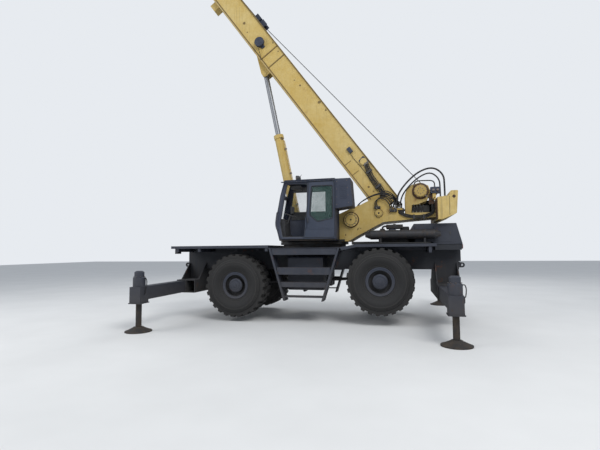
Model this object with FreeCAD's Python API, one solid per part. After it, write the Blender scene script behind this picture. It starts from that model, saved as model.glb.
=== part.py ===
import FreeCAD, Part
import math
import os

# Rough terrain mobile crane standing on its four outriggers, boom raised over the front.
# Millimetres. +X forward, +Y to the left (the cab side), +Z up, origin on the ground under
# the slewing axis. Each node is written to parts/NODE.step.

# Running gear
WHEELBASE = 4000.0
HUB_Z = {"front": 1000.0, "rear": 1140.0}
WHEEL_Y = 1180.0
TYRE_R = 875.0
TYRE_WIDTH = 673.0
LUG_DEPTH = 48.0
LUG_COUNT = 26
BEAD_R = 352.0
RIM_FLANGE_R = 362.0
HUB_R = 195.0
SPINDLE_R = 100.0
KINGPIN_Y = 830.0
KINGPIN_R = 36.0
FORK_HALF = 170.0
AXLE_TUBE_R = 105.0
DIFF_R = 225.0

# Clearances
FIT = 0.1
SEAT = 0.3
RUN = 6.0

# Carrier frame
FRAME_FRONT_X = 4000.0
FRAME_REAR_X = -4050.0
FRAME_HALF = 430.0
FRAME_BOTTOM = 1420.0
FRAME_TOP = 1950.0
FRAME_WALL = 20.0

# Outriggers: x of the left beam, x of the right beam, underside of the jack box
OUTRIGGERS = {
    "front": (3820.0, 3530.0, 690.0),
    "rear": (-3585.0, -3875.0, 620.0),
}
BEAM_W = 250.0
BEAM_H = 330.0
BEAM_WALL = 14.0
BEAM_INNER_Y = 650.0
BOX_HALF_Y = 1195.0
BOX_WALL = 20.0
JACK_Y = 3190.0
JACK_BOX = (300.0, 340.0, 410.0)
JACK_TUBE_R = 150.0
JACK_TUBE_H = 250.0
JACK_CAP_R = 118.0
JACK_CAP_H = 140.0
LEG_R = 70.0
LEG_TOP_INSIDE = 300.0
FLOAT_R = 320.0
FLOAT_H = 120.0

# Decks
DECK_Z = 2120.0
DECK_HALF_Y = 1400.0
DECK_PLATE = 12.0
DECK_SKIRT = 75.0
FRONT_DECK_X = (1040.0, 4050.0)
REAR_DECK_X = (-3420.0, -1400.0)
CENTRE_DECK_X = (-970.0, 1040.0)
CENTRE_DECK_Z = 2040.0
DECK_SLOPE_RUN = 430.0

# Slewing ring and turntable
RING_R = 720.0
RING_TOP = 2220.0
TABLE_PLATE = 60.0
TABLE_SIDE_Y = 560.0
TABLE_SIDE_T = 30.0

# Boom linkage: foot pin, lift cylinder foot, eye on the boom in boom coordinates
FOOT_PIN = (-1970.0, 3000.0)
FOOT_PIN_R = 60.0
BOOM_ANGLE = 54.2
CYLINDER_FOOT = (480.0, 2390.0)
EYE_U = 5820.0
EYE_W = -140.0
EYE_PIN_R = 45.0
EYE_R = 95.0
EYE_HALF_Y = 110.0
ROD_R = 80.0
ROD_LENGTH = 3050.0
BARREL_R = 140.0
BARREL_LENGTH = 3295.0
BARREL_FOOT = 320.0
FOOT_BOSS_R = 85.0
FOOT_BOSS_HALF_Y = 150.0

# Boom sections in boom coordinates (u along the boom, w across it):
# name, half width, underside w, top w, wall, rear u, front u
BOOM_SECTIONS = [
    ("boom_base", 270.0, 20.0, 720.0, 14.0, 60.0, 9800.0),
    ("boom_section_2", 232.0, 72.0, 668.0, 11.0, 550.0, 10050.0),
    ("boom_section_3", 198.0, 112.0, 628.0, 10.0, 700.0, 10300.0),
    ("boom_section_4", 166.0, 150.0, 590.0, 9.0, 850.0, 10560.0),
]
COLLAR_LENGTH = 240.0
COLLAR_PROUD = 18.0
FLANGE_PROUD = 38.0
HEAD_SHEAVE = (10780.0, -60.0)
HEAD_SHEAVE_R = 200.0
IDLER_SHEAVE = (10740.0, 700.0)
IDLER_SHEAVE_R = 170.0
SHEAVE_W = 50.0
SHEAVE_PLACES = (-80.0, 0.0, 80.0)
ROPE_R = 11.0
HEAD_PLATE_T = 25.0
HEAD_PIN_R = 40.0

# Hook block
FALL_LENGTH = 200.0
BLOCK_H = 420.0
BLOCK_HALF_Y = 150.0
BLOCK_HALF_X = 180.0
HOOK_SHANK_R = 32.0
HOOK_THROAT_R = 70.0

# Winch and counterweight
WINCH = (-3120.0, 3600.0)
DRUM_R = 170.0
DRUM_FLANGE_R = 250.0
DRUM_HALF_Y = 300.0
COUNTERWEIGHT_HALF_Y = 1100.0

# Cab
CAB_Y = (590.0, 1380.0)
CAB_WALL = 30.0
CAB_BOTTOM = 2240.0
CAB_TOP = 3920.0
DOOR_T = 30.0
GLASS_T = 8.0

# Engine end
HOOD_HALF_Y = 800.0
HOOD_TOP = 2660.0
MUFFLER_R = 125.0
AIR_CLEANER_R = 190.0


def vec(x, y, z):
    return FreeCAD.Vector(x, y, z)


def block(x, y, z):
    """A box from three (low, high) pairs."""
    return Part.makeBox(x[1] - x[0], y[1] - y[0], z[1] - z[0], vec(x[0], y[0], z[0]))


def rod(start, end, radius):
    """A solid cylinder between two points."""
    along = vec(*end) - vec(*start)
    return Part.makeCylinder(radius, along.Length, vec(*start), along)


def bar_y(x, z, y, radius):
    """A cylinder along Y between the two y values."""
    return rod((x, y[0], z), (x, y[1], z), radius)


def plate_xz(points, y):
    """A plate with an outline of (x, z) points between two y values."""
    wire = Part.makePolygon([vec(px, y[0], pz) for px, pz in points + points[:1]])
    return Part.Face(wire).extrude(vec(0, y[1] - y[0], 0))


def plate_yz(points, x):
    """A plate with an outline of (y, z) points between two x values."""
    wire = Part.makePolygon([vec(x[0], py, pz) for py, pz in points + points[:1]])
    return Part.Face(wire).extrude(vec(x[1] - x[0], 0, 0))


def plate_xy(points, z):
    """A plate with an outline of (x, y) points between two z values."""
    wire = Part.makePolygon([vec(px, py, z[0]) for px, py in points + points[:1]])
    return Part.Face(wire).extrude(vec(0, 0, z[1] - z[0]))


def spin_y(points, x, z):
    """A solid turned about the Y line through (x, z) from (radius, y) points."""
    wire = Part.makePolygon([vec(x + r, y, z) for r, y in points + points[:1]])
    return Part.Face(wire).revolve(vec(x, 0, z), vec(0, 1, 0), 360)


def spin_z(points, x, y):
    """A solid turned about the Z line through (x, y) from (radius, z) points."""
    wire = Part.makePolygon([vec(x + r, y, z) for r, z in points + points[:1]])
    return Part.Face(wire).revolve(vec(x, y, 0), vec(0, 0, 1), 360)


def join(shapes):
    """One solid from overlapping or touching shapes."""
    first, rest = shapes[0], shapes[1:]
    return first.multiFuse(rest).removeSplitter() if rest else first


def mirror_y(shape):
    return shape.mirror(vec(0, 0, 0), vec(0, 1, 0))


def both_sides(shape):
    return [shape, mirror_y(shape)]


def save(name, shapes):
    """Writes one node; several solids that don't touch go in as a compound."""
    shapes = shapes if isinstance(shapes, list) else [shapes]
    shape = shapes[0] if len(shapes) == 1 else Part.makeCompound(shapes)
    if not shape.isValid():
        print("not valid:", name)
    shape.exportStep(os.path.join("parts", name + ".step"))
    print(name, len(shape.Solids))


# Boom coordinates


def boom_turn(shape):
    """Turns a shape drawn in boom coordinates (u along X, w along Z) to the boom's rest place."""
    shape = shape.copy()
    shape.rotate(vec(0, 0, 0), vec(0, -1, 0), BOOM_ANGLE)
    shape.translate(vec(FOOT_PIN[0], 0, FOOT_PIN[1]))
    return shape


def boom_point(u, w):
    """The (x, z) of a point given in boom coordinates."""
    a = math.radians(BOOM_ANGLE)
    x = FOOT_PIN[0] + u * math.cos(a) - w * math.sin(a)
    z = FOOT_PIN[1] + u * math.sin(a) + w * math.cos(a)
    return x, z


EYE = boom_point(EYE_U, EYE_W)
HOOK_PIVOT = boom_point(*HEAD_SHEAVE)
CYLINDER_LENGTH = math.dist(EYE, CYLINDER_FOOT)
CYLINDER_ANGLE = math.degrees(
    math.atan2(EYE[1] - CYLINDER_FOOT[1], EYE[0] - CYLINDER_FOOT[0])
)


# Carrier


def box_span(end):
    """The low and high x of an outrigger box around its two beams."""
    left, right, _ = OUTRIGGERS[end]
    margin = BEAM_W / 2 + RUN + BOX_WALL
    return min(left, right) - margin, max(left, right) + margin


def beam_z(end):
    """The low and high z of the beams at one end."""
    bottom = OUTRIGGERS[end][2]
    return bottom + JACK_BOX[2] - BEAM_H, bottom + JACK_BOX[2]


def outrigger_box(end):
    """A transverse box with one slot for each beam, and webs up to the frame."""
    low_x, high_x = box_span(end)
    low_z, high_z = beam_z(end)
    outer_z = (low_z - SEAT - BOX_WALL, high_z + RUN + BOX_WALL)
    shell = block((low_x, high_x), (-BOX_HALF_Y, BOX_HALF_Y), outer_z)
    for centre in OUTRIGGERS[end][:2]:
        half = BEAM_W / 2 + RUN
        slot = block(
            (centre - half, centre + half),
            (-BOX_HALF_Y - 1, BOX_HALF_Y + 1),
            (low_z - SEAT, high_z + RUN),
        )
        shell = shell.cut(slot)
    webs = []
    for x in (low_x, high_x - 30.0):
        outline = [
            (-FRAME_HALF, FRAME_BOTTOM + 200.0),
            (-BOX_HALF_Y + 250.0, outer_z[1] - 5.0),
            (BOX_HALF_Y - 250.0, outer_z[1] - 5.0),
            (FRAME_HALF, FRAME_BOTTOM + 200.0),
        ]
        webs.append(plate_yz(outline, (x, x + 30.0)))
    for side in (-1, 1):
        y = sorted((side * (FRAME_HALF - 30.0), side * FRAME_HALF))
        webs.append(block((low_x, high_x), y, (outer_z[1] - 5.0, FRAME_BOTTOM + 5.0)))
    return join([shell] + webs)


def carrier_frame():
    """The welded box frame with cross plates and both outrigger boxes."""
    outer = block(
        (FRAME_REAR_X, FRAME_FRONT_X), (-FRAME_HALF, FRAME_HALF), (FRAME_BOTTOM, FRAME_TOP)
    )
    inner = block(
        (FRAME_REAR_X - 1, FRAME_FRONT_X + 1),
        (-FRAME_HALF + FRAME_WALL, FRAME_HALF - FRAME_WALL),
        (FRAME_BOTTOM + FRAME_WALL, FRAME_TOP - FRAME_WALL),
    )
    shapes = [outer.cut(inner)]
    for x in (-2600.0, -700.0, 700.0, 2600.0):
        shapes.append(
            block((x - 15, x + 15), (-FRAME_HALF, FRAME_HALF), (FRAME_BOTTOM, FRAME_TOP))
        )
    for end in OUTRIGGERS:
        shapes.append(outrigger_box(end))
    return join(shapes)


TOW_EYE_R = 30.0
TOW_EYE_OUT = 110.0
TOW_EYE_Y = 300.0
TOW_EYE_T = 50.0
TOW_EYE_Z = FRAME_BOTTOM + 120.0


def tow_eyes():
    """Two lugs on each end of the frame, bored along Y for a shackle pin."""
    lugs = []
    for base, out in ((FRAME_FRONT_X, 1), (FRAME_REAR_X, -1)):
        for side in (-1, 1):
            y = (side * TOW_EYE_Y - TOW_EYE_T / 2, side * TOW_EYE_Y + TOW_EYE_T / 2)
            centre = base + out * TOW_EYE_OUT
            x = sorted((base, centre))
            stem = block(x, y, (TOW_EYE_Z - 70.0, TOW_EYE_Z + 70.0))
            nose = bar_y(centre, TOW_EYE_Z, y, 70.0)
            hole = bar_y(centre, TOW_EYE_Z, (y[0] - 1, y[1] + 1), TOW_EYE_R)
            backing = block(
                sorted((base, base + out * 20.0)), (y[0] - 60.0, y[1] + 60.0),
                (FRAME_BOTTOM, FRAME_BOTTOM + 215.0),
            )
            lugs.append(stem.fuse(nose).cut(hole).fuse(backing))
    return lugs


def deck_skirt(x, z, sides):
    """Edge flanges under a deck plate: the two long sides, and the end named in sides."""
    low, high = z - DECK_SKIRT, z
    skirts = [
        block(x, (DECK_HALF_Y - DECK_PLATE, DECK_HALF_Y), (low, high)),
        block(x, (-DECK_HALF_Y, -DECK_HALF_Y + DECK_PLATE), (low, high)),
    ]
    for end in sides:
        edge = x[1] - DECK_PLATE if end == "front" else x[0]
        skirts.append(
            block((edge, edge + DECK_PLATE), (-DECK_HALF_Y, DECK_HALF_Y), (low, high))
        )
    return skirts


def deck_bearers(stations, z, reach):
    """Cross bearers that stand on the frame's top and carry the deck plate."""
    top = z - DECK_PLATE
    return [
        block((x - 40, x + 40), (-reach, reach), (FRAME_TOP, top)) for x in stations
    ]


def front_deck():
    x = FRONT_DECK_X
    plate = block(x, (-DECK_HALF_Y, DECK_HALF_Y), (DECK_Z - DECK_PLATE, DECK_Z))
    wide = deck_bearers((x[0] + 60.0, 3150.0, x[1] - 200.0), DECK_Z, DECK_HALF_Y - 20.0)
    narrow = deck_bearers((1700.0, 2400.0), DECK_Z, FRAME_HALF)
    return join([plate] + deck_skirt(x, DECK_Z, ("front",)) + wide + narrow)


ENGINE_WELL_X = -2800.0


def rear_deck():
    """The rear deck plate, open over the engine, with the slopes down to the steps."""
    x = REAR_DECK_X
    plate = block(x, (-DECK_HALF_Y, DECK_HALF_Y), (DECK_Z - DECK_PLATE, DECK_Z))
    plate = plate.cut(
        block((x[0] - 1, ENGINE_WELL_X), (-460.0, 460.0), (DECK_Z - 100.0, DECK_Z + 1))
    )
    wide = deck_bearers((x[1] - 60.0,), DECK_Z, FRAME_HALF)
    hangers = []
    for side in (-1, 1):
        y = sorted((side * FRAME_HALF, side * (DECK_HALF_Y - 20.0)))
        hangers.append(block((-3300.0, -3230.0), y, (FRAME_TOP - 60.0, DECK_Z - DECK_PLATE)))
        sill = sorted((side * 440.0, side * 500.0))
        hangers.append(block((x[0], x[1]), sill, (FRAME_TOP, DECK_Z - DECK_PLATE)))
        tie = sorted((side * 380.0, side * 500.0))
        hangers.append(block((-3300.0, -3230.0), tie, (FRAME_TOP, FRAME_TOP + 30.0)))
        slope = [
            (x[1], DECK_Z - DECK_SKIRT),
            (x[1], DECK_Z),
            (CENTRE_DECK_X[0], CENTRE_DECK_Z + 4.0),
            (CENTRE_DECK_X[0], CENTRE_DECK_Z + 4.0 - DECK_PLATE),
            (CENTRE_DECK_X[0] - 40.0, CENTRE_DECK_Z - DECK_SKIRT),
        ]
        y = sorted((side * (DECK_HALF_Y - 250.0), side * DECK_HALF_Y))
        hangers.append(plate_xz(slope, y))
    return join([plate] + deck_skirt(x, DECK_Z, ()) + wide + hangers)


# Side steps: low z, high z and inward depth of each tread box
STEP_BANDS = [
    (1850.0, 2028.0, 250.0),
    (1310.0, 1500.0, 250.0),
    (970.0, 1100.0, 250.0),
    (690.0, 730.0, 220.0),
]
STEP_Y = (DECK_HALF_Y - 350.0, DECK_HALF_Y)
STEP_FOOT_Z = 600.0
STRINGER_T = 55.0
STRINGER_TOP_X = (-955.0, 1030.0)
STRINGER_FOOT_X = (-500.0, 610.0)


def stringer_x(z, side):
    """The outer x of a stringer at height z; side 0 is the rear one, 1 the front one."""
    share = (CENTRE_DECK_Z - z) / (CENTRE_DECK_Z - STEP_FOOT_Z)
    return STRINGER_TOP_X[side] + share * (STRINGER_FOOT_X[side] - STRINGER_TOP_X[side])


def side_steps():
    """One trapezium of steps hanging from the centre deck, mirrored to the other side."""
    top = CENTRE_DECK_Z - DECK_PLATE
    shapes = []
    for side, inward in ((0, 1), (1, -1)):
        outline = [
            (stringer_x(top, side), top),
            (stringer_x(top, side) + inward * STRINGER_T, top),
            (stringer_x(STEP_FOOT_Z, side) + inward * STRINGER_T, STEP_FOOT_Z),
            (stringer_x(STEP_FOOT_Z, side), STEP_FOOT_Z),
        ]
        shapes.append(plate_xz(outline, STEP_Y))
    for low, high, depth in STEP_BANDS:
        x = (stringer_x(low, 0) + 30.0, stringer_x(low, 1) - 30.0)
        front = block(x, (STEP_Y[1] - 12.0 - 20.0, STEP_Y[1] - 20.0), (low, high))
        tread = block(x, (STEP_Y[1] - 20.0 - depth, STEP_Y[1] - 20.0), (high - 12.0, high))
        shapes += [front, tread]
    plate = block(CENTRE_DECK_X, (500.0, DECK_HALF_Y), (top, CENTRE_DECK_Z))
    plate = plate.cut(rod((0, 0, top - 1), (0, 0, CENTRE_DECK_Z + 1), RING_R + 40.0))
    shapes.append(plate)
    for x in (CENTRE_DECK_X[0] + 60.0, CENTRE_DECK_X[1] - 160.0):
        shapes.append(block((x, x + 80.0), (300.0, DECK_HALF_Y - 40.0), (FRAME_TOP, top)))
    return both_sides(join(shapes))


def engine_hood():
    outline = [
        (-4120.0, DECK_Z),
        (-3980.0, HOOD_TOP),
        (-2900.0, HOOD_TOP),
        (-2760.0, 2440.0),
        (-2760.0, DECK_Z),
    ]
    wall = 15.0
    inside = [
        (-4120.0 + wall, DECK_Z - 1),
        (-3980.0 + wall * 0.6, HOOD_TOP - wall),
        (-2900.0 - wall * 0.5, HOOD_TOP - wall),
        (-2760.0 - wall, 2440.0 - wall * 0.5),
        (-2760.0 - wall, DECK_Z - 1),
    ]
    outer = plate_xz(outline, (-HOOD_HALF_Y, HOOD_HALF_Y))
    hood = outer.cut(plate_xz(inside, (-HOOD_HALF_Y + wall, HOOD_HALF_Y - wall)))
    # Louvres in the right flank; the left one is plain
    for i in range(7):
        x = -3780.0 + i * 110.0
        slot = block((x, x + 60.0), (-HOOD_HALF_Y - 1, -HOOD_HALF_Y + wall + 1), (2230.0, 2480.0))
        hood = hood.cut(slot)
    # The bed under the hood's rear part, behind the deck, standing on the frame
    edge = REAR_DECK_X[0] - SEAT
    bed = block((-4120.0, edge), (-HOOD_HALF_Y, HOOD_HALF_Y), (DECK_Z - DECK_PLATE, DECK_Z))
    bed = bed.cut(block((-3950.0, edge + 1), (-350.0, 350.0), (DECK_Z - 50.0, DECK_Z + 1)))
    shapes = [hood, bed]
    for x in (-4040.0, -3520.0):
        for side in (-1, 1):
            y = sorted((side * 360.0, side * (HOOD_HALF_Y - 20.0)))
            shapes.append(block((x, x + 60.0), y, (FRAME_TOP, DECK_Z - DECK_PLATE)))
    return join(shapes)


def engine_block():
    """A plain block for the engine's mass, standing on the frame under the hood."""
    body = block((-3840.0, -2860.0), (-300.0, 300.0), (FRAME_TOP, 2480.0))
    rocker = block((-3700.0, -3000.0), (-150.0, 150.0), (2480.0, 2560.0))
    return join([body, rocker])


def radiator_grille():
    """A framed grille of upright slats across the rear end, carried by the frame's end."""
    x = (FRAME_REAR_X - 70.0, FRAME_REAR_X)
    y, z = 395.0, (1640.0, 2100.0)
    outer = block(x, (-y, y), z)
    opening = block((x[0] - 1, x[1] + 1), (-y + 40, y - 40), (z[0] + 40, z[1] - 40))
    shapes = [outer.cut(opening)]
    count = 11
    pitch = (2 * y - 80.0) / count
    for i in range(1, count):
        centre = -y + 40.0 + i * pitch
        shapes.append(
            block((x[0] + 15, x[1] - 15), (centre - 8, centre + 8), (z[0] + 20, z[1] - 20))
        )
    return join(shapes)


MUFFLER_Y = DECK_HALF_Y - 420.0
MUFFLER_Z = 2370.0
MUFFLER_X = (-3420.0, -1760.0)


def muffler():
    """A long silencer on two saddles, with a turned down tail pipe."""
    x0, x1 = MUFFLER_X
    y, z, r = MUFFLER_Y, MUFFLER_Z, MUFFLER_R
    body = rod((x0, y, z), (x1, y, z), r)
    shapes = [body, rod((x1 - 5, y, z), (x1 + 120.0, y, z), 45.0)]
    shapes.append(rod((x0 + 5, y, z), (x0 - 150.0, y, z), 45.0))
    for x in (x0 + 260.0, x1 - 260.0):
        saddle = block((x - 25, x + 25), (y - 90, y + 90), (DECK_Z, z - 40.0))
        strap = rod((x - 25, y, z), (x + 25, y, z), r + 10.0)
        shapes += [saddle, strap]
    return join(shapes)


def air_cleaner():
    """A canister across the deck behind the turntable, with its intake cap."""
    x, z, r = -2330.0, DECK_Z + 50.0 + AIR_CLEANER_R, AIR_CLEANER_R
    body = bar_y(x, z, (60.0, 640.0), r)
    lid = bar_y(x, z, (620.0, 690.0), r * 0.7)
    cap = bar_y(x, z, (20.0, 70.0), r + 14.0)
    foot = block((x - 90, x + 90), (150.0, 550.0), (DECK_Z, z - r * 0.6))
    return join([body, lid, cap, foot])


TANK_X = (-440.0, 560.0)
TANK_Z = (860.0, 1800.0)


def side_tank(side):
    """A rounded tank hung on the frame's side behind the steps, with a filler neck."""
    tank = block(TANK_X, (FRAME_HALF, STEP_Y[0]), TANK_Z)
    long_edges = [
        e for e in tank.Edges
        if abs(e.Vertexes[0].Point.x - e.Vertexes[-1].Point.x) > 500.0
        and e.CenterOfMass.y > FRAME_HALF + 100.0
    ]
    tank = tank.makeFillet(70.0, long_edges)
    wall = 10.0
    tank = tank.cut(block((TANK_X[0] + wall, TANK_X[1] - wall),
                          (FRAME_HALF + wall, STEP_Y[0] - 60.0),
                          (TANK_Z[0] + 40.0, TANK_Z[1] - 40.0)))
    neck = rod((TANK_X[1] - 200, 700.0, TANK_Z[1] - 5), (TANK_X[1] - 200, 700.0, TANK_Z[1] + 70), 55.0)
    tank = join([tank, neck])
    return tank if side > 0 else mirror_y(tank)


def lamps():
    """Two headlamp boxes under the front deck edge and two tail lamps on the rear end."""
    shapes = []
    for side in (-1, 1):
        y = sorted((side * 980.0, side * 1180.0))
        z = (DECK_Z - DECK_SKIRT - 150.0, DECK_Z - DECK_SKIRT)
        x = FRONT_DECK_X[1]
        front = block((x - 90.0, x), y, z)
        lens = rod((x - 10, side * 1080.0, sum(z) / 2), (x + 14, side * 1080.0, sum(z) / 2), 58.0)
        shapes.append(join([front, lens]))
        y = sorted((side * (HOOD_HALF_Y - 220.0), side * (HOOD_HALF_Y - 60.0)))
        rear_z = (DECK_Z - DECK_PLATE - 130.0, DECK_Z - DECK_PLATE)
        shapes.append(block((-4130.0, -4045.0), y, rear_z))
    return shapes


# Axles, knuckles and wheels


def axle(end):
    """A drive axle: bowl, tapered tubes, end forks for the knuckles and its mounting seats."""
    x = WHEELBASE / 2 if end == "front" else -WHEELBASE / 2
    z = HUB_Z[end]
    inner = KINGPIN_Y - 150.0
    tube = spin_y(
        [(0, -inner), (85.0, -inner), (AXLE_TUBE_R, -inner + 120.0), (AXLE_TUBE_R, -320.0),
         (DIFF_R - 60.0, -230.0), (DIFF_R, -110.0), (DIFF_R, 110.0), (DIFF_R - 60.0, 230.0),
         (AXLE_TUBE_R, 320.0), (AXLE_TUBE_R, inner - 120.0), (85.0, inner), (0, inner)], x, z)
    nose_to = x + (-420.0 if end == "front" else 420.0)
    shapes = [tube, rod((x, 0, z), (nose_to, 0, z), 90.0)]
    for side in (-1, 1):
        y = sorted((side * (inner - 40.0), side * (inner + 15.0)))
        shapes.append(block((x - 80, x + 80), y, (z - FORK_HALF - 35, z + FORK_HALF + 35)))
        arm_y = sorted((side * inner, side * KINGPIN_Y))
        for level in (-1, 1):
            arm_z = sorted((z + level * (FORK_HALF + SEAT), z + level * (FORK_HALF + 35)))
            arm = block((x - 70, x + 70), arm_y, arm_z)
            eye = rod((x, side * KINGPIN_Y, arm_z[0]), (x, side * KINGPIN_Y, arm_z[1]), 70.0)
            hole = rod((x, side * KINGPIN_Y, arm_z[0] - 1), (x, side * KINGPIN_Y, arm_z[1] + 1),
                       KINGPIN_R + FIT)
            shapes.append(arm.fuse(eye).cut(hole))
        seat_y = sorted((side * 300.0, side * 420.0))
        shapes.append(block((x - 90, x + 90), seat_y, (z - 60.0, FRAME_BOTTOM)))
    fused = join(shapes)
    for side in (-1, 1):
        bore = rod((x, side * KINGPIN_Y, z - 300), (x, side * KINGPIN_Y, z + 300), KINGPIN_R + FIT)
        fused = fused.cut(bore)
    return fused


def knuckle(x, z, side):
    """The swivel that turns on the fork's kingpins and carries the wheel's spindle."""
    ky = side * KINGPIN_Y
    barrel = rod((x, ky, z - FORK_HALF), (x, ky, z + FORK_HALF), 72.0)
    pins = rod((x, ky, z - FORK_HALF - 33), (x, ky, z + FORK_HALF + 33), KINGPIN_R)
    spindle = rod((x, ky, z), (x, side * (WHEEL_Y + 60.0), z), SPINDLE_R)
    flange = rod((x, side * (WHEEL_Y - 200.0), z), (x, side * (WHEEL_Y - 165.0), z), 150.0)
    return join([barrel, pins, spindle, flange])


def lug_ring(x, z, y, turn):
    """A ring with lugs round its edge: the tread of one half of the tyre."""
    outer, floor = TYRE_R, TYRE_R - LUG_DEPTH
    points = []
    for i in range(LUG_COUNT):
        for share, radius in ((0.04, floor), (0.12, outer), (0.58, outer), (0.66, floor)):
            a = 2 * math.pi * (i + share + turn) / LUG_COUNT
            points.append((x + radius * math.cos(a), z + radius * math.sin(a)))
    ring = plate_xz(points, y)
    return ring.cut(bar_y(x, z, (y[0] - 1, y[1] + 1), TYRE_R - 140.0))


def tyre(x, z, side):
    """A lugged tyre: two rings of lugs on a turned carcass."""
    half = TYRE_WIDTH / 2
    centre = side * WHEEL_Y
    shoulder = half - 45.0
    carcass = spin_y(
        [(BEAD_R, centre - 190.0), (BEAD_R + 30, centre - 235.0), (560.0, centre - half),
         (700.0, centre - half + 12.0), (TYRE_R - 120.0, centre - shoulder + 40.0),
         (TYRE_R - 120.0, centre + shoulder - 40.0), (700.0, centre + half - 12.0),
         (560.0, centre + half), (BEAD_R + 30, centre + 235.0), (BEAD_R, centre + 190.0),
         (BEAD_R, centre + 150.0), (560.0, centre + half - 42.0), (690.0, centre + half - 62.0),
         (TYRE_R - 165.0, centre + 190.0), (TYRE_R - 165.0, centre - 190.0),
         (690.0, centre - half + 62.0), (560.0, centre - half + 42.0), (BEAD_R, centre - 150.0)],
        x, z)
    rings = [
        lug_ring(x, z, (centre - shoulder, centre), 0.0),
        lug_ring(x, z, (centre, centre + shoulder), 0.5),
    ]
    return join([carcass] + rings)


def rim(x, z, side):
    """The wheel: flanged rim, dished disc and the planetary hub with a blind bore."""
    c = side * WHEEL_Y
    s = side
    profile = [
        (RIM_FLANGE_R, c + s * 236.0), (RIM_FLANGE_R, c + s * 250.0), (300.0, c + s * 250.0),
        (292.0, c + s * 130.0), (HUB_R + 5.0, c + s * 110.0), (HUB_R, c + s * 225.0),
        (HUB_R - 35.0, c + s * 250.0), (0, c + s * 250.0), (0, c + s * 65.0),
        (SPINDLE_R + FIT, c + s * 65.0), (SPINDLE_R + FIT, c - s * 150.0),
        (HUB_R - 40.0, c - s * 150.0), (HUB_R - 10.0, c + s * 60.0), (300.0, c + s * 85.0),
        (318.0, c - s * 190.0), (RIM_FLANGE_R, c - s * 236.0), (BEAD_R - 0.5, c - s * 188.0),
        (BEAD_R - 0.5, c + s * 188.0),
    ]
    return spin_y(profile, x, z)


def propshaft():
    """The shaft between the two axle noses, with a coupling at each end."""
    front = (WHEELBASE / 2 - 420.0, 0, HUB_Z["front"])
    rear = (-WHEELBASE / 2 + 420.0, 0, HUB_Z["rear"])
    tube_ends = [(end[0] * 0.97, 0, end[2]) for end in (front, rear)]
    shapes = [rod(tube_ends[0], tube_ends[1], 45.0)]
    for x, z in ((front[0], front[2]), (rear[0], rear[2])):
        inward = -1 if x > 0 else 1
        shapes.append(rod((x, 0, z), (x + inward * 60.0, 0, z), 88.0))
    return join(shapes)


# Outrigger beams and jacks


def outrigger_beam(end, side):
    """A box beam with the jack box and its upright tube at the outer end."""
    x = OUTRIGGERS[end][0 if side > 0 else 1]
    low, high = beam_z(end)
    bottom = OUTRIGGERS[end][2]
    half_y = JACK_BOX[1] / 2
    y = (BEAM_INNER_Y, JACK_Y - half_y + 10.0)
    beam = block((x - BEAM_W / 2, x + BEAM_W / 2), y, (low, high))
    hollow = block(
        (x - BEAM_W / 2 + BEAM_WALL, x + BEAM_W / 2 - BEAM_WALL),
        (y[0] - 1, JACK_Y - half_y - 30.0), (low + BEAM_WALL, high - BEAM_WALL))
    beam = beam.cut(hollow)
    jack = block((x - JACK_BOX[0] / 2, x + JACK_BOX[0] / 2),
                 (JACK_Y - half_y, JACK_Y + half_y), (bottom, high))
    rim_plate = block((x - JACK_BOX[0] / 2 - 18, x + JACK_BOX[0] / 2 + 18),
                      (JACK_Y - half_y - 18, JACK_Y + half_y + 18), (bottom, bottom + 22.0))
    gusset = plate_yz(
        [(JACK_Y - half_y + 5, bottom), (JACK_Y - half_y - 40.0, bottom + 4.0),
         (JACK_Y - half_y - 110.0, low + 5.0),
         (JACK_Y - half_y + 5, low + 5.0)], (x - 60.0, x + 60.0))
    cap_low = high + JACK_TUBE_H
    tower = spin_z(
        [(0, high - 5.0), (JACK_TUBE_R, high - 5.0), (JACK_TUBE_R, cap_low - 25.0),
         (JACK_CAP_R, cap_low), (JACK_CAP_R, cap_low + JACK_CAP_H - 30.0),
         (JACK_CAP_R - 40.0, cap_low + JACK_CAP_H), (0, cap_low + JACK_CAP_H)], x, JACK_Y)
    solid = join([beam, jack, rim_plate, gusset, tower])
    bore = rod((x, JACK_Y, bottom - 1), (x, JACK_Y, cap_low + JACK_CAP_H - 40.0), LEG_R + SEAT)
    solid = solid.cut(bore)
    return solid if side > 0 else mirror_y(solid)


def jack_leg(end, side):
    """The jack's leg with its round float standing on the ground."""
    x = OUTRIGGERS[end][0 if side > 0 else 1]
    bottom = OUTRIGGERS[end][2]
    pad = spin_z(
        [(0, 0), (FLOAT_R, 0), (FLOAT_R, 22.0), (FLOAT_R - 30.0, 30.0), (150.0, FLOAT_H - 25.0),
         (110.0, FLOAT_H), (0, FLOAT_H)], x, JACK_Y)
    leg = rod((x, JACK_Y, FLOAT_H - 10.0), (x, JACK_Y, bottom + LEG_TOP_INSIDE), LEG_R)
    solid = join([pad, leg])
    return solid if side > 0 else mirror_y(solid)


# Superstructure

# Outline of the turntable's side plates as (x, z)
TABLE_SIDE = [
    (-740.0, 2222.0), (-1110.0, 2222.0), (-1320.0, 2345.0), (-1940.0, 2670.0), (-2080.0, 2745.0),
    (-2890.0, 2810.0), (-3500.0, 2850.0), (-3500.0, 2960.0), (-2680.0, 2960.0),
    (-2560.0, 3010.0), (-2300.0, 3200.0), (-2100.0, 3340.0), (-1960.0, 3410.0),
    (-1790.0, 3410.0), (-1450.0, 3250.0), (-1210.0, 3170.0), (-600.0, 2900.0),
    (640.0, 2520.0), (900.0, 2400.0), (900.0, 2222.0),
]
GEARBOX_BOSS = (-1190.0, 2830.0, 195.0, 90.0)
PIN_BOSS = (FOOT_PIN[0], FOOT_PIN[1], 105.0, 45.0)
TABLE_GAP = 0.3


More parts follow.
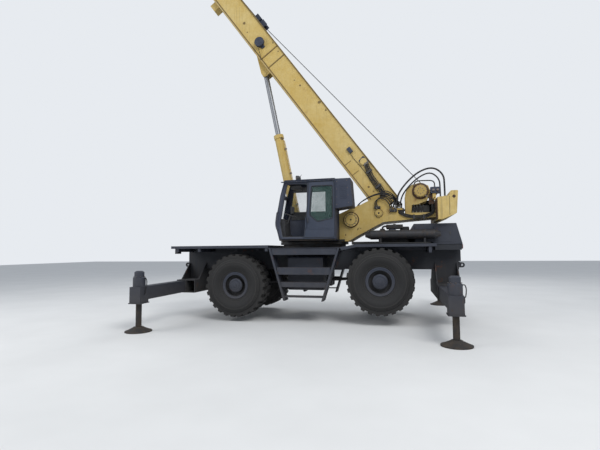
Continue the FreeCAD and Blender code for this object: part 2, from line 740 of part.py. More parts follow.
def turntable():
    """Base plate, two side plates joined by cross plates, the foot pin and cylinder cheeks."""
    low = RING_TOP + TABLE_GAP
    inner = TABLE_SIDE_Y - TABLE_SIDE_T
    base = block((-1000.0, 900.0), (-TABLE_SIDE_Y, TABLE_SIDE_Y), (low, low + TABLE_PLATE))
    base = base.cut(block((CYLINDER_FOOT[0] + 120.0, 901.0), (-200.0, 200.0), (low - 1, low + 100)))
    shapes = [base]
    for side in (-1, 1):
        y = sorted((side * inner, side * TABLE_SIDE_Y))
        shapes.append(plate_xz(TABLE_SIDE, y))
        for x, z, radius, out in (GEARBOX_BOSS, PIN_BOSS):
            reach = sorted((side * (TABLE_SIDE_Y - 2), side * (TABLE_SIDE_Y + out)))
            shapes.append(bar_y(x, z, reach, radius))
            cap = sorted((side * (TABLE_SIDE_Y + out - 2), side * (TABLE_SIDE_Y + out + 18)))
            shapes.append(bar_y(x, z, cap, radius * 0.72))
        cheek_y = sorted((side * (FOOT_BOSS_HALF_Y + RUN), side * (FOOT_BOSS_HALF_Y + 46.0)))
        fx, fz = CYLINDER_FOOT
        cheek = plate_xz([(fx - 170.0, low + 50), (fx - 80.0, fz + 70.0), (fx + 70.0, fz + 70.0),
                          (fx + 110.0, fz), (fx + 110.0, low + 50)], cheek_y)
        boss_y = sorted((side * (FOOT_BOSS_HALF_Y + RUN), side * (FOOT_BOSS_HALF_Y + 70.0)))
        shapes += [cheek, bar_y(fx, fz, boss_y, 75.0)]
    for x, z in (((-1330.0, -1300.0), (2360.0, 2560.0)), ((-2720.0, -2690.0), (2810.0, 2950.0)),
                 ((-2400.0, -2370.0), (2790.0, 2900.0))):
        shapes.append(block(x, (-inner, inner), z))
    floor = plate_xz([(-1100.0, 2225.0), (-1325.0, 2352.0), (-1945.0, 2677.0), (-2085.0, 2752.0),
                      (-3500.0, 2852.0), (-3500.0, 2872.0), (-2078.0, 2772.0), (-1932.0, 2697.0),
                      (-1312.0, 2372.0), (-1090.0, 2245.0)], (-inner, inner))
    shapes.append(floor)
    for side in (-1, 1):
        pin_y = sorted((side * (inner + 5.0), side * (BOOM_SECTIONS[0][1] - 60.0)))
        shapes.append(bar_y(FOOT_PIN[0], FOOT_PIN[1], pin_y, FOOT_PIN_R))
        ear_y = sorted((side * (inner + 2.0), side * (BOOM_SECTIONS[0][1] + FLANGE_PROUD + 12.0)))
        shapes.append(bar_y(FOOT_PIN[0], FOOT_PIN[1], ear_y, FOOT_PIN_R + 45.0))
    # Bracket on the left plate where the two hoses start
    shapes.append(block((-2620.0, -2400.0), (380.0, inner + 2.0), (3080.0, 3120.0 - SEAT)))
    shapes.append(block((-2460.0, -2400.0), (inner - 30.0, inner + 2.0), (2990.0, 3085.0)))
    return join(shapes)


def counterweight():
    """The cast block behind the winch, notched where the turntable's tail seats."""
    outline = [
        (-3500.4, 3330.0), (-3790.0, 3360.0), (-3830.0, 3490.0), (-4010.0, 3490.0),
        (-3965.0, 2900.0), (-3620.0, 2750.0), (-3500.4, 2750.0),
    ]
    mass = plate_xz(outline, (-COUNTERWEIGHT_HALF_Y, COUNTERWEIGHT_HALF_Y))
    edges = [e for e in mass.Edges if abs(e.CenterOfMass.y) < 1.0 and e.CenterOfMass.x < -3700.0]
    return mass.makeFillet(25.0, edges)


# Winch side plate outline as (x, z)
WINCH_PLATE = [
    (-2700.0, 2960.0), (-2700.0, 3520.0), (-2760.0, 3700.0), (-2900.0, 3800.0),
    (-3120.0, 3840.0), (-3330.0, 3760.0), (-3400.0, 3560.0), (-3300.0, 3340.0),
    (-3060.0, 3240.0), (-2880.0, 3220.0), (-2860.0, 2960.0),
]
WINCH_FOOT = (-2700.0, -3420.0)


def winch_frame():
    """Two J shaped side plates on the tail of the turntable, tied by bars."""
    inner = DRUM_HALF_Y + 25.0
    shapes = []
    for side in (-1, 1):
        y = sorted((side * inner, side * (inner + 35.0)))
        shapes.append(plate_xz(WINCH_PLATE, y).cut(bar_y(*WINCH, (y[0] - 1, y[1] + 1), 90.0)))
    for x, z in ((-2780.0, 3100.0), (-2800.0, 3600.0)):
        shapes.append(bar_y(x, z, (-inner - 5, inner + 5), 32.0))
    foot = block((WINCH_FOOT[1], WINCH_FOOT[0]), (-TABLE_SIDE_Y, TABLE_SIDE_Y), (2960.0, 2985.0))
    shapes.append(foot)
    bearing = sorted((inner + 30.0, inner + 120.0))
    shapes.append(bar_y(*WINCH, bearing, 175.0).cut(bar_y(*WINCH, (inner, inner + 121.0), 90.0)))
    shapes.append(bar_y(*WINCH, (inner + 118.0, inner + 150.0), 150.0))
    return join(shapes)


def winch_drum():
    """The rope drum with its flanges and the shaft ends in the side plates."""
    x, z = WINCH
    flange_in = DRUM_HALF_Y - 22.0
    end = DRUM_HALF_Y + 58.0
    return spin_y(
        [(0, -end), (89.7, -end), (89.7, -DRUM_HALF_Y), (DRUM_FLANGE_R, -DRUM_HALF_Y),
         (DRUM_FLANGE_R, -flange_in), (DRUM_R + 35.0, -flange_in), (DRUM_R + 35.0, flange_in),
         (DRUM_FLANGE_R, flange_in), (DRUM_FLANGE_R, DRUM_HALF_Y), (89.7, DRUM_HALF_Y),
         (89.7, end), (0, end)], x, z)


# Hose loops over the winch: radius, y, and the route as (x, z) corner points
HOSES = {
    "hose_outer": (24.0, 470.0, [(-2450.0, 3120.0), (-2450.0, 3420.0), (-2680.0, 3790.0),
                                 (-3060.0, 4140.0), (-3460.0, 4260.0), (-3740.0, 4040.0),
                                 (-3755.0, 3700.0), (-3755.0, 3360.2)]),
    "hose_inner": (20.0, 410.0, [(-2560.0, 3120.0), (-2560.0, 3390.0), (-2770.0, 3720.0),
                                 (-3090.0, 4010.0), (-3400.0, 4130.0), (-3630.0, 3930.0),
                                 (-3645.0, 3640.0), (-3645.0, 3348.6)]),
}
HOSE_ARC_SHARE = 0.45


def hose(radius, y, corners):
    """A hose along straight runs joined by tangent arcs."""
    points = [vec(x, y, z) for x, z in corners]
    edges, start = [], points[0]
    for before, corner, after in zip(points, points[1:], points[2:]):
        a, b = before - corner, after - corner
        run = min(a.Length, b.Length)
        a.normalize()
        b.normalize()
        turn = math.pi - a.getAngle(b)
        bend = HOSE_ARC_SHARE * run / math.tan(turn / 2)
        cut = HOSE_ARC_SHARE * run
        first, last = corner + a * cut, corner + b * cut
        middle_dir = a + b
        middle_dir.normalize()
        centre = corner + middle_dir * math.hypot(bend, cut)
        middle = centre - middle_dir * bend
        print("hose bend radius", round(bend))
        edges.append(Part.LineSegment(start, first).toShape())
        edges.append(Part.Arc(first, middle, last).toShape())
        start = last
    edges.append(Part.LineSegment(start, points[-1]).toShape())
    path = Part.Wire(edges)
    profile = Part.Wire(
        [Part.Circle(points[0], points[1] - points[0], radius).toShape()])
    return path.makePipeShell([profile], True, False)


# Cab outline as (x, z), and the inside of its walls
CAB_OUTLINE = [
    (-853.0, CAB_BOTTOM), (711.0, CAB_BOTTOM), (833.0, 2705.0), (683.0, 3490.0),
    (560.0, CAB_TOP), (-853.0, CAB_TOP),
]
CAB_INSIDE = [
    (-813.0, CAB_BOTTOM + 50.0), (682.0, CAB_BOTTOM + 50.0), (792.0, 2708.0), (644.0, 3480.0),
    (530.0, CAB_TOP - 45.0), (-813.0, CAB_TOP - 45.0),
]
DOORWAY = [
    (0.0, 2340.0), (620.0, 2340.0), (690.0, 2720.0), (560.0, 3440.0), (480.0, 3800.0),
    (-90.0, 3800.0), (-80.0, 3200.0),
]
RIGHT_WINDOW = [(-740.0, 2900.0), (560.0, 2900.0), (590.0, 3100.0), (480.0, 3800.0),
                (-740.0, 3800.0)]
REAR_WINDOW = ((700.0, 1270.0), (3120.0, 3780.0))
ROOF_WINDOW = ((-500.0, 350.0), (720.0, 1250.0))
RAIL_OUT = DOOR_T + 26.0


def cab_shell():
    """The hollow cab with its doorway, windows and the two rails of the sliding door."""
    y0, y1 = CAB_Y
    shell = plate_xz(CAB_OUTLINE, CAB_Y)
    shell = shell.cut(plate_xz(CAB_INSIDE, (y0 + CAB_WALL, y1 - CAB_WALL)))
    shell = shell.cut(plate_xz(DOORWAY, (y1 - CAB_WALL - 1, y1 + 1)))
    shell = shell.cut(plate_xz(RIGHT_WINDOW, (y0 - 1, y0 + CAB_WALL + 1)))
    for pane in front_panes(80.0):
        shell = shell.cut(pane)
    shell = shell.cut(block((-870.0, -800.0), *REAR_WINDOW))
    shell = shell.cut(block(ROOF_WINDOW[0], ROOF_WINDOW[1], (CAB_TOP - 60.0, CAB_TOP + 1)))
    shapes = [shell]
    for z in (DOOR_Z[0] - 22.0 - SEAT, DOOR_Z[1] + SEAT):
        shapes.append(block((-853.0, 640.0), (y1 - 2, y1 + RAIL_OUT), (z, z + 22.0)))
    legs = []
    for x in (-760.0, 560.0):
        legs.append(block((x, x + 60.0), (y0 + 10.0, y0 + 60.0), (RING_TOP + 5, CAB_BOTTOM + 5)))
    for x, z in ((-700.0, 2260.0), (300.0, 2260.0)):
        legs.append(block((x, x + 160.0), (TABLE_SIDE_Y, y0 + 5.0), (z, z + 90.0)))
    return join(shapes + legs)


def front_panes(margin):
    """The two windscreen panes as thin prisms through the front wall, with a margin at each side."""
    panes = []
    rows = [(CAB_OUTLINE[1], CAB_OUTLINE[2]), (CAB_OUTLINE[2], CAB_OUTLINE[3]),
            (CAB_OUTLINE[3], CAB_OUTLINE[4])]
    for (ax, az), (bx, bz) in rows:
        length = math.hypot(bx - ax, bz - az)
        ux, uz = (bx - ax) / length, (bz - az) / length
        nx, nz = uz, -ux
        start, stop = 45.0 + (margin - 80.0), length - 45.0 - (margin - 80.0)
        corners = []
        for s, d in ((start, -80.0), (stop, -80.0), (stop, 80.0), (start, 80.0)):
            corners.append((ax + ux * s + nx * d, az + uz * s + nz * d))
        panes.append(plate_xz(corners, (CAB_Y[0] + margin, CAB_Y[1] - margin)))
    return panes


def cab_glass():
    """Panes in the windscreen, the right window, the rear window and the roof."""
    y0, y1 = CAB_Y
    gap = SEAT
    glass = []
    skin = plate_xz(CAB_OUTLINE, CAB_Y)
    core = skin.copy()
    core.translate(vec(-18.0, 0, 0))
    back = skin.copy()
    back.translate(vec(-18.0 - GLASS_T, 0, 0))
    sheet = core.cut(back)
    for pane in front_panes(80.0 + gap):
        glass.append(sheet.common(pane).Solids[0])
    glass.append(inset_pane(RIGHT_WINDOW, (y0 + 16.0, y0 + 16.0 + GLASS_T), gap))
    ry, rz = REAR_WINDOW
    glass.append(block((-838.0, -838.0 + GLASS_T), (ry[0] + gap, ry[1] - gap),
                       (rz[0] + gap, rz[1] - gap)))
    rx, ry = ROOF_WINDOW
    glass.append(block((rx[0] + gap, rx[1] - gap), (ry[0] + gap, ry[1] - gap),
                       (CAB_TOP - 30.0, CAB_TOP - 30.0 + GLASS_T)))
    return glass


def inset_pane(outline, y, gap):
    """A pane with the same outline, smaller by the gap all round."""
    wire = Part.makePolygon([vec(px, y[0], pz) for px, pz in outline + outline[:1]])
    face = Part.Face(wire).makeOffset2D(-gap)
    return Part.Face(face.Wires[0]).extrude(vec(0, y[1] - y[0], 0))


DOOR_Z = (2300.0, 3850.0)
DOOR_OUTLINE = [
    (-850.0, DOOR_Z[0]), (20.0, DOOR_Z[0]), (-60.0, 2950.0), (-130.0, DOOR_Z[1]),
    (-850.0, DOOR_Z[1]),
]
DOOR_WINDOW = [(-790.0, 2830.0), (-370.0, 2740.0), (-150.0, 2930.0), (-215.0, 3720.0),
               (-790.0, 3720.0)]


def cab_door():
    """The sliding door, drawn slid open to the rear, with its window cut and a grab bar."""
    y = (CAB_Y[1] + 2.0 + RUN, CAB_Y[1] + 2.0 + RUN + DOOR_T - 8.0)
    leaf = plate_xz(DOOR_OUTLINE, y)
    leaf = leaf.cut(plate_xz(DOOR_WINDOW, (y[0] - 1, y[1] + 1)))
    bead = plate_xz(DOOR_WINDOW, (y[0] + 6.0, y[1] - 4.0))
    core = Part.Face(Part.makePolygon(
        [vec(px, y[0], pz) for px, pz in DOOR_WINDOW + DOOR_WINDOW[:1]])).makeOffset2D(-18.0)
    core = Part.Face(core.Wires[0]).extrude(vec(0, 100.0, 0))
    handle = block((-60.0, -38.0), (y[1] - 1, y[1] + 34.0), (2560.0, 2860.0))
    grip = block((-66.0, -32.0), (y[1] - 1, y[1] + 18.0), (2590.0, 2830.0))
    return join([leaf, bead.cut(core), handle.cut(grip)])


def door_glass():
    y = (CAB_Y[1] + 2.0 + RUN, CAB_Y[1] + 2.0 + RUN + DOOR_T - 8.0)
    return inset_pane(DOOR_WINDOW, (y[0] + 6.0, y[0] + 6.0 + GLASS_T), 18.0 + SEAT)


def cab_rear_box():
    """The heater and filter box bolted high on the cab's back wall."""
    outline = [(-853.0, 3090.0), (-1320.0, 3150.0), (-1270.0, CAB_TOP - 20.0),
               (-853.0, CAB_TOP - 20.0)]
    box = plate_xz(outline, (CAB_Y[0] + 60.0, CAB_Y[1] - 6.0))
    return box.cut(block((-1240.0, -852.0), (CAB_Y[0] + 85.0, CAB_Y[1] - 31.0),
                         (3175.0, CAB_TOP - 45.0)))


SEAT_X = (-640.0, -120.0)
SEAT_Y = (740.0, 1230.0)


def cab_seat():
    """The operator's seat: plinth, cushion, raked back and head rest."""
    floor = CAB_BOTTOM + 50.0
    plinth = block((-560.0, -200.0), (820.0, 1150.0), (floor, floor + 240.0))
    cushion = block(SEAT_X, SEAT_Y, (floor + 240.0, floor + 370.0))
    cushion = cushion.makeFillet(40.0, [e for e in cushion.Edges if e.CenterOfMass.z > floor + 300])
    back = plate_xz([(-620.0, floor + 330.0), (-500.0, floor + 350.0), (-600.0, floor + 950.0),
                     (-700.0, floor + 940.0)], (SEAT_Y[0] + 20, SEAT_Y[1] - 20))
    head = block((-735.0, -640.0), (870.0, 1100.0), (floor + 920.0, floor + 1120.0))
    return join([plinth, cushion, back, head])


def cab_console():
    """Dashboard with pedals, steering wheel and two lever consoles beside the seat."""
    floor = CAB_BOTTOM + 50.0
    dash = plate_xz([(560.0, floor), (680.0, floor), (740.0, 2700.0), (700.0, 2860.0),
                     (590.0, 2820.0)], (700.0, 1270.0))
    column = rod((600.0, 985.0, 2700.0), (500.0, 985.0, 2960.0), 28.0)
    wheel = Part.makeTorus(165.0, 14.0, vec(497.0, 985.0, 2968.0), vec(-0.36, 0, 0.93))
    spoke = Part.makeCylinder(15.0, 320.0, vec(497.0, 825.0, 2968.0), vec(0, 1, 0))
    shapes = [join([dash, column, wheel, spoke])]
    for y in ((640.0, 715.0), (1255.0, 1330.0)):
        pod = block((-560.0, -60.0), y, (floor, floor + 480.0))
        lever = rod((-120.0, sum(y) / 2, floor + 470.0), (-70.0, sum(y) / 2, floor + 660.0), 11.0)
        knob = Part.makeSphere(26.0, vec(-70.0, sum(y) / 2, floor + 660.0))
        shapes.append(join([pod, lever, knob]))
    return shapes


# Boom


def hollow_box(half, low, high, wall, rear, front):
    outer = block((rear, front), (-half, half), (low, high))
    inner = block((rear - 1, front + 1), (-half + wall, half - wall), (low + wall, high - wall))
    return outer.cut(inner)


def front_collar(index):
    """The stiffened mouth of a section, with bearing pads that close on the next section."""
    _, half, low, high, wall, _, front = BOOM_SECTIONS[index]
    _, next_half, next_low, next_high, _, _, _ = BOOM_SECTIONS[index + 1]
    out = COLLAR_PROUD
    collar = block((front - COLLAR_LENGTH, front), (-half - out, half + out),
                   (low - out, high + out))
    collar = collar.cut(block((front - COLLAR_LENGTH - 1, front + 1),
                              (-half + wall, half - wall), (low + wall, high - wall)))
    pads = block((front - 90.0, front), (-half + wall - 1, half - wall + 1),
                 (low + wall - 1, high - wall + 1))
    bore = block((front - 91.0, front + 1), (-next_half - SEAT, next_half + SEAT),
                 (next_low - SEAT, next_high + SEAT))
    return [collar, pads.cut(bore)]


def boom_base():
    """The base section: flanged box, straps, foot eyes, lift bracket and front collar."""
    _, half, low, high, wall, rear, front = BOOM_SECTIONS[0]
    shapes = [hollow_box(half, low, high, wall, rear, front)]
    for z in ((low - 8.0, low + 10.0), (high - 10.0, high + 8.0)):
        shapes.append(block((rear, front), (-half - FLANGE_PROUD, -half + 5), z))
        shapes.append(block((rear, front), (half - 5, half + FLANGE_PROUD), z))
    for u in (5810.0, 6200.0):
        for side in (-1, 1):
            y = sorted((side * (half - 2), side * (half + 10.0)))
            shapes.append(block((u - 14, u + 14), y, (low + 5, high - 5)))
    shapes += front_collar(0)
    # Foot: two thick eyes round the pin at the lower rear corner
    for side in (-1, 1):
        y = sorted((side * (half - 30.0), side * (half + FLANGE_PROUD)))
        outline = [(-60.0, 95.0), (rear + 260.0, 300.0), (rear + 700.0, low + 5.0),
                   (260.0, -60.0), (60.0, -105.0)]
        shapes.append(plate_xz(outline, y))
        shapes.append(bar_y(0.0, 0.0, y, 125.0))
    # Lift bracket: two cheeks under the boom with the pin between them
    for side in (-1, 1):
        y = sorted((side * (EYE_HALF_Y + RUN), side * (EYE_HALF_Y + 46.0)))
        cheek = plate_xz([(EYE_U - 96.0, low + 4), (EYE_U - 96.0, EYE_W - 30.0),
                          (EYE_U - 60.0, EYE_W - 84.0), (EYE_U + 60.0, EYE_W - 90.0),
                          (EYE_U + 700.0, low + 4)], y)
        shapes.append(cheek)
    shapes.append(bar_y(EYE_U, EYE_W, (-EYE_HALF_Y - 60.0, EYE_HALF_Y + 60.0), EYE_PIN_R))
    # Stowage bracket under the front and the round boss by the foot
    shapes.append(block((8760.0, 9010.0), (-150.0, 150.0), (-200.0, low + 4)))
    shapes.append(bar_y(1510.0, 570.0, (half - 3, half + 55.0), 100.0))
    solid = join(shapes)
    pin = bar_y(0.0, 0.0, (-half - 200, half + 200), FOOT_PIN_R + FIT)
    return boom_turn(solid.cut(pin))


def boom_section(index):
    """A telescoping section with the collar that carries the next one."""
    name, half, low, high, wall, rear, front = BOOM_SECTIONS[index]
    shapes = [hollow_box(half, low, high, wall, rear, front)]
    if index + 1 < len(BOOM_SECTIONS):
        shapes += front_collar(index)
    else:
        shapes += head_plates(half, low, high, front)
    return boom_turn(join(shapes))


def head_plates(half, low, high, front):
    """The boom head: two cheeks with the pins of the hoist sheaves and the idler."""
    shapes = []
    outline = [(front - 200.0, low + 2), (front - 200.0, high - 2), (front + 60.0, high + 190.0),
               (front + 240.0, high + 200.0), (front + 310.0, high + 60.0),
               (front + 400.0, 120.0), (front + 410.0, -80.0), (front + 300.0, -170.0),
               (front + 130.0, -170.0), (front + 40.0, -60.0), (front - 60.0, low + 2)]
    for side in (-1, 1):
        y = sorted((side * (half - 1), side * (half + HEAD_PLATE_T)))
        shapes.append(plate_xz(outline, y))
    for (u, w) in (HEAD_SHEAVE, IDLER_SHEAVE):
        shapes.append(bar_y(u, w, (-half - 45, half + 45), HEAD_PIN_R))
    shapes.append(block((front + 270.0, front + 300.0), (-half, half), (165.0, 400.0)))
    return shapes


def head_sheaves():
    """The hoist sheaves and the idler on the head's pins."""
    solids = []
    rows = [(HEAD_SHEAVE, HEAD_SHEAVE_R, SHEAVE_PLACES),
            (IDLER_SHEAVE, IDLER_SHEAVE_R, (0.0,))]
    for (u, w), radius, places in rows:
        for y in places:
            solids.append(boom_turn(sheave(u, w, y, radius)))
    return solids


def sheave(x, z, y, radius):
    """A grooved sheave with its bore on a head pin."""
    half = SHEAVE_W / 2
    bore = HEAD_PIN_R + FIT
    return spin_y([(bore, y - half), (radius, y - half), (radius - 28.0, y - 6.0),
                   (radius - 28.0, y + 6.0), (radius, y + half), (bore, y + half)], x, z)


def boom_fittings():
    """The length reel on the boom's side and the rope guide on its top."""
    _, half, low, high, _, _, _ = BOOM_SECTIONS[0]
    reel_u, reel_w = 6650.0, 330.0
    reel = join([
        bar_y(reel_u, reel_w, (half, half + 120.0), 60.0),
        bar_y(reel_u, reel_w, (half + 40.0, half + 125.0), 150.0),
        block((reel_u - 200.0, reel_u + 60.0), (half, half + 30.0), (reel_w - 60, reel_w + 60)),
    ])
    top = high
    guide = join([
        block((7100.0, 7640.0), (-150.0, 150.0), (top, top + 30.0)),
        block((7120.0, 7340.0), (-130.0, -100.0), (top, top + 170.0)),
        block((7120.0, 7340.0), (100.0, 130.0), (top, top + 170.0)),
        bar_y(7230.0, top + 115.0, (-105.0, 105.0), 45.0),
        block((7400.0, 7620.0), (-130.0, 130.0), (top + 25, top + 150.0)),
    ])
    return [boom_turn(reel), boom_turn(guide)]


# Lift cylinder, drawn along +X from its foot and turned to its rest place


def cylinder_turn(shape):
    shape = shape.copy()
    shape.rotate(vec(0, 0, 0), vec(0, -1, 0), CYLINDER_ANGLE)
    shape.translate(vec(CYLINDER_FOOT[0], 0, CYLINDER_FOOT[1]))
    return shape


def lift_rod():
    top = CYLINDER_LENGTH
    shaft = rod((top - ROD_LENGTH, 0, 0), (top - 60.0, 0, 0), ROD_R)
    eye = bar_y(top, 0.0, (-EYE_HALF_Y, EYE_HALF_Y), EYE_R)
    bore = bar_y(top, 0.0, (-EYE_HALF_Y - 1, EYE_HALF_Y + 1), EYE_PIN_R + FIT)
    return cylinder_turn(join([shaft, eye]).cut(bore))


def lift_barrel():
    body = rod((BARREL_FOOT, 0, 0), (BARREL_LENGTH, 0, 0), BARREL_R)
    gland = rod((BARREL_LENGTH - 120.0, 0, 0), (BARREL_LENGTH, 0, 0), BARREL_R + 16.0)
    neck = rod((0, 0, 0), (BARREL_FOOT + 5, 0, 0), FOOT_BOSS_R - 10.0)
    boss = bar_y(0.0, 0.0, (-FOOT_BOSS_HALF_Y, FOOT_BOSS_HALF_Y), FOOT_BOSS_R)
    solid = join([body, gland, neck, boss])
    bore = rod((BARREL_FOOT + 10.0, 0, 0), (BARREL_LENGTH + 1, 0, 0), ROD_R + SEAT)
    return cylinder_turn(solid.cut(bore))


def hook_block():
    """The block under the boom head: rope falls, cheeks, sheaves and the hook."""
    x, z = HOOK_PIVOT
    top = z - HEAD_SHEAVE_R - FALL_LENGTH + 100.0
    axis = top - BLOCK_H * 0.45
    shapes = []
    for side in (-1, 1):
        y = sorted((side * (BLOCK_HALF_Y - 25.0), side * BLOCK_HALF_Y))
        outline = [(x - 90.0, top), (x + 90.0, top), (x + BLOCK_HALF_X, axis),
                   (x + 100.0, top - BLOCK_H), (x - 100.0, top - BLOCK_H),
                   (x - BLOCK_HALF_X, axis)]
        shapes.append(plate_xz(outline, y))
    shapes.append(bar_y(x, axis, (-BLOCK_HALF_Y - 20, BLOCK_HALF_Y + 20), 40.0))
    for y in SHEAVE_PLACES:
        shapes.append(bar_y(x, axis, (y - 25, y + 25), 160.0))
        reach = HEAD_SHEAVE_R - 28.0 + ROPE_R + 2.0
        for out in (-1, 1):
            shapes.append(rod((x + out * reach, y, z), (x + out * 140.0, y, axis), ROPE_R))
    low = top - BLOCK_H
    shapes.append(block((x - 90, x + 90), (-BLOCK_HALF_Y + 5, BLOCK_HALF_Y - 5), (low, low + 70)))
    shapes.append(hook(x, low))
    return join(shapes)


HOOK_TURN = -90.0


def hook(x, top):
    """A plain shank hook: an open ring with its mouth on the forward side."""
    r, t = HOOK_THROAT_R, HOOK_SHANK_R
    centre = top - 140.0
    shank = rod((x, 0, centre + r + t * 0.5), (x, 0, top + 20.0), t)
    bowl = Part.makeTorus(r + t, t, vec(x, 0, centre), vec(0, 1, 0), -180, 180, 290)
    bowl.rotate(vec(x, 0, centre), vec(0, 1, 0), HOOK_TURN)
    return shank.fuse(bowl)


def main():
    os.makedirs("parts", exist_ok=True)
    save("carrier_frame", carrier_frame())
    save("front_deck", front_deck())
    save("rear_deck", rear_deck())
    save("side_steps", side_steps())
    save("engine_hood", engine_hood())
    save("engine_block", engine_block())
    save("radiator_grille", radiator_grille())
    save("muffler", muffler())
    save("air_cleaner", air_cleaner())
    save("fuel_tank", side_tank(1))
    save("hydraulic_tank", side_tank(-1))
    save("lamps", lamps())
    save("tow_eyes", tow_eyes())
    save("propshaft", propshaft())
    save("slew_ring", rod((0, 0, FRAME_TOP), (0, 0, RING_TOP), RING_R))
    for end in ("front", "rear"):
        save("axle_" + end, axle(end))
        for side, word in ((1, "left"), (-1, "right")):
            x = WHEELBASE / 2 if end == "front" else -WHEELBASE / 2
            tag = end + "_" + word
            save("knuckle_" + tag, knuckle(x, HUB_Z[end], side))
            save("tyre_" + tag, tyre(x, HUB_Z[end], side))
            save("rim_" + tag, rim(x, HUB_Z[end], side))
            save("beam_" + tag, outrigger_beam(end, side))
            save("jack_" + tag, jack_leg(end, side))
    save("turntable", turntable())
    save("counterweight", counterweight())
    save("winch_frame", winch_frame())
    save("winch_drum", winch_drum())
    for name, (radius, y, corners) in HOSES.items():
        save(name, hose(radius, y, corners))
    save("cab_shell", cab_shell())
    save("cab_glass", cab_glass())
    save("cab_rear_box", cab_rear_box())
    save("cab_seat", cab_seat())
    save("cab_console", cab_console())
    save("cab_door", cab_door())
    save("door_glass", door_glass())
    save("boom_base", boom_base())
    for index in (1, 2, 3):
        save(BOOM_SECTIONS[index][0], boom_section(index))
    save("head_sheaves", head_sheaves())
    save("boom_fittings", boom_fittings())
    save("lift_rod", lift_rod())
    save("lift_barrel", lift_barrel())
    save("hook_block", hook_block())


main()
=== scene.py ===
"""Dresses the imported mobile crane: paint, glass, rubber, ropes, hoses, bolts, seat, floor and light."""

from __future__ import annotations

import logging
import math
from dataclasses import dataclass, field
from enum import Enum
from typing import Callable, Iterable, Sequence, Union

import bmesh
import bpy
from mathutils import Euler, Matrix, Vector

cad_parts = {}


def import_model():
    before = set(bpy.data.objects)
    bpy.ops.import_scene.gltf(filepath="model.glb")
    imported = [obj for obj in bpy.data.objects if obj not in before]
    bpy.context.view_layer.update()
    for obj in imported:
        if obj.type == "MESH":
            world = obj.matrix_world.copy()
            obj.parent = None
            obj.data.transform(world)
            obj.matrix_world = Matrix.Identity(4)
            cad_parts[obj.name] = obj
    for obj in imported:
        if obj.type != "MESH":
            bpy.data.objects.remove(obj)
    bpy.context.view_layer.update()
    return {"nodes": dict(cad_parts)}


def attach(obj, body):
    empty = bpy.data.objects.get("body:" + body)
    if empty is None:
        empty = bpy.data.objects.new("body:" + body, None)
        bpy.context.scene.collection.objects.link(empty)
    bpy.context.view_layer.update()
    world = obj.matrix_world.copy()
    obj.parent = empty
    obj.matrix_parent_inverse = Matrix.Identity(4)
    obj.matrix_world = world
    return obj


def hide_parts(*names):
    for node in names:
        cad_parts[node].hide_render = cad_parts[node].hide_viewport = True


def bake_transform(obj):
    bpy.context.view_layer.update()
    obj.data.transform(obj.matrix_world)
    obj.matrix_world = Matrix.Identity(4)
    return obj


LOG = logging.getLogger("crane")

Point = tuple[float, float, float]
Colour = tuple[float, float, float, float]
Number = Union[float, "Value"]

# Places shared by several pieces, in metres, as the solids have them
FOOT_PIN = (-1.970, 3.000)
BOOM_ANGLE = math.radians(54.2)
WHEELS = {
    "front_left": (2.0, 1.18, 1.00),
    "front_right": (2.0, -1.18, 1.00),
    "rear_left": (-2.0, 1.18, 1.14),
    "rear_right": (-2.0, -1.18, 1.14),
}
JACKS = {
    "front_left": (3.820, 3.19, 0.69),
    "front_right": (3.530, -3.19, 0.69),
    "rear_left": (-3.585, 3.19, 0.62),
    "rear_right": (-3.875, -3.19, 0.62),
}


def boom_point(u: float, w: float, y: float = 0.0) -> Vector:
    """The resting place of a point given along and across the boom.

    Args:
        u: Distance along the boom from its foot pin.
        w: Distance above the pin, square to the boom.
        y: Distance to the left.

    Returns:
        The point in the crane's frame.
    """
    c, s = math.cos(BOOM_ANGLE), math.sin(BOOM_ANGLE)
    return Vector((FOOT_PIN[0] + u * c - w * s, y, FOOT_PIN[1] + u * s + w * c))


# Shader expressions


class Value:
    """A socket that takes part in plain arithmetic."""

    def __init__(self, graph: "Graph", socket: bpy.types.NodeSocket) -> None:
        """Keeps the graph and its socket."""
        self.graph = graph
        self.socket = socket

    def _math(self, operation: str, *values: Number, clamp: bool = False) -> "Value":
        """Adds one Math node over the values given."""
        settings = {"operation": operation, "use_clamp": clamp}
        made = self.graph.node("ShaderNodeMath", settings, dict(enumerate(values)))
        return Value(self.graph, made.outputs[0])

    def __add__(self, other: Number) -> "Value":
        """Sum."""
        return self._math("ADD", self, other)

    __radd__ = __add__

    def __sub__(self, other: Number) -> "Value":
        """Difference."""
        return self._math("SUBTRACT", self, other)

    def __rsub__(self, other: Number) -> "Value":
        """Difference with the number first."""
        return self._math("SUBTRACT", other, self)

    def __mul__(self, other: Number) -> "Value":
        """Product."""
        return self._math("MULTIPLY", self, other)

    __rmul__ = __mul__

    def __truediv__(self, other: Number) -> "Value":
        """Quotient."""
        return self._math("DIVIDE", self, other)

    def __abs__(self) -> "Value":
        """Size without sign."""
        return self._math("ABSOLUTE", self)

    def power(self, exponent: float) -> "Value":
        """The value raised to a power."""
        return self._math("POWER", self, exponent)

    def sine(self) -> "Value":
        """The sine of the value in radians."""
        return self._math("SINE", self)

    def clamped(self) -> "Value":
        """The value held between 0 and 1."""
        return self._math("ADD", self, 0.0, clamp=True)

    def at_most(self, other: Number) -> "Value":
        """The lesser of two values."""
        return self._math("MINIMUM", self, other)

    def at_least(self, other: Number) -> "Value":
        """The greater of two values."""
        return self._math("MAXIMUM", self, other)

    def band(self, centre: float, half: float, soft: float) -> "Value":
        """A mask that is 1 within half of centre and fades out over soft."""
        return (1.0 - (abs(self - centre) - half) / soft).clamped()

    def between(self, low: float, high: float) -> "Value":
        """The value stretched so that low gives 0 and high gives 1."""
        return ((self - low) / (high - low)).clamped()


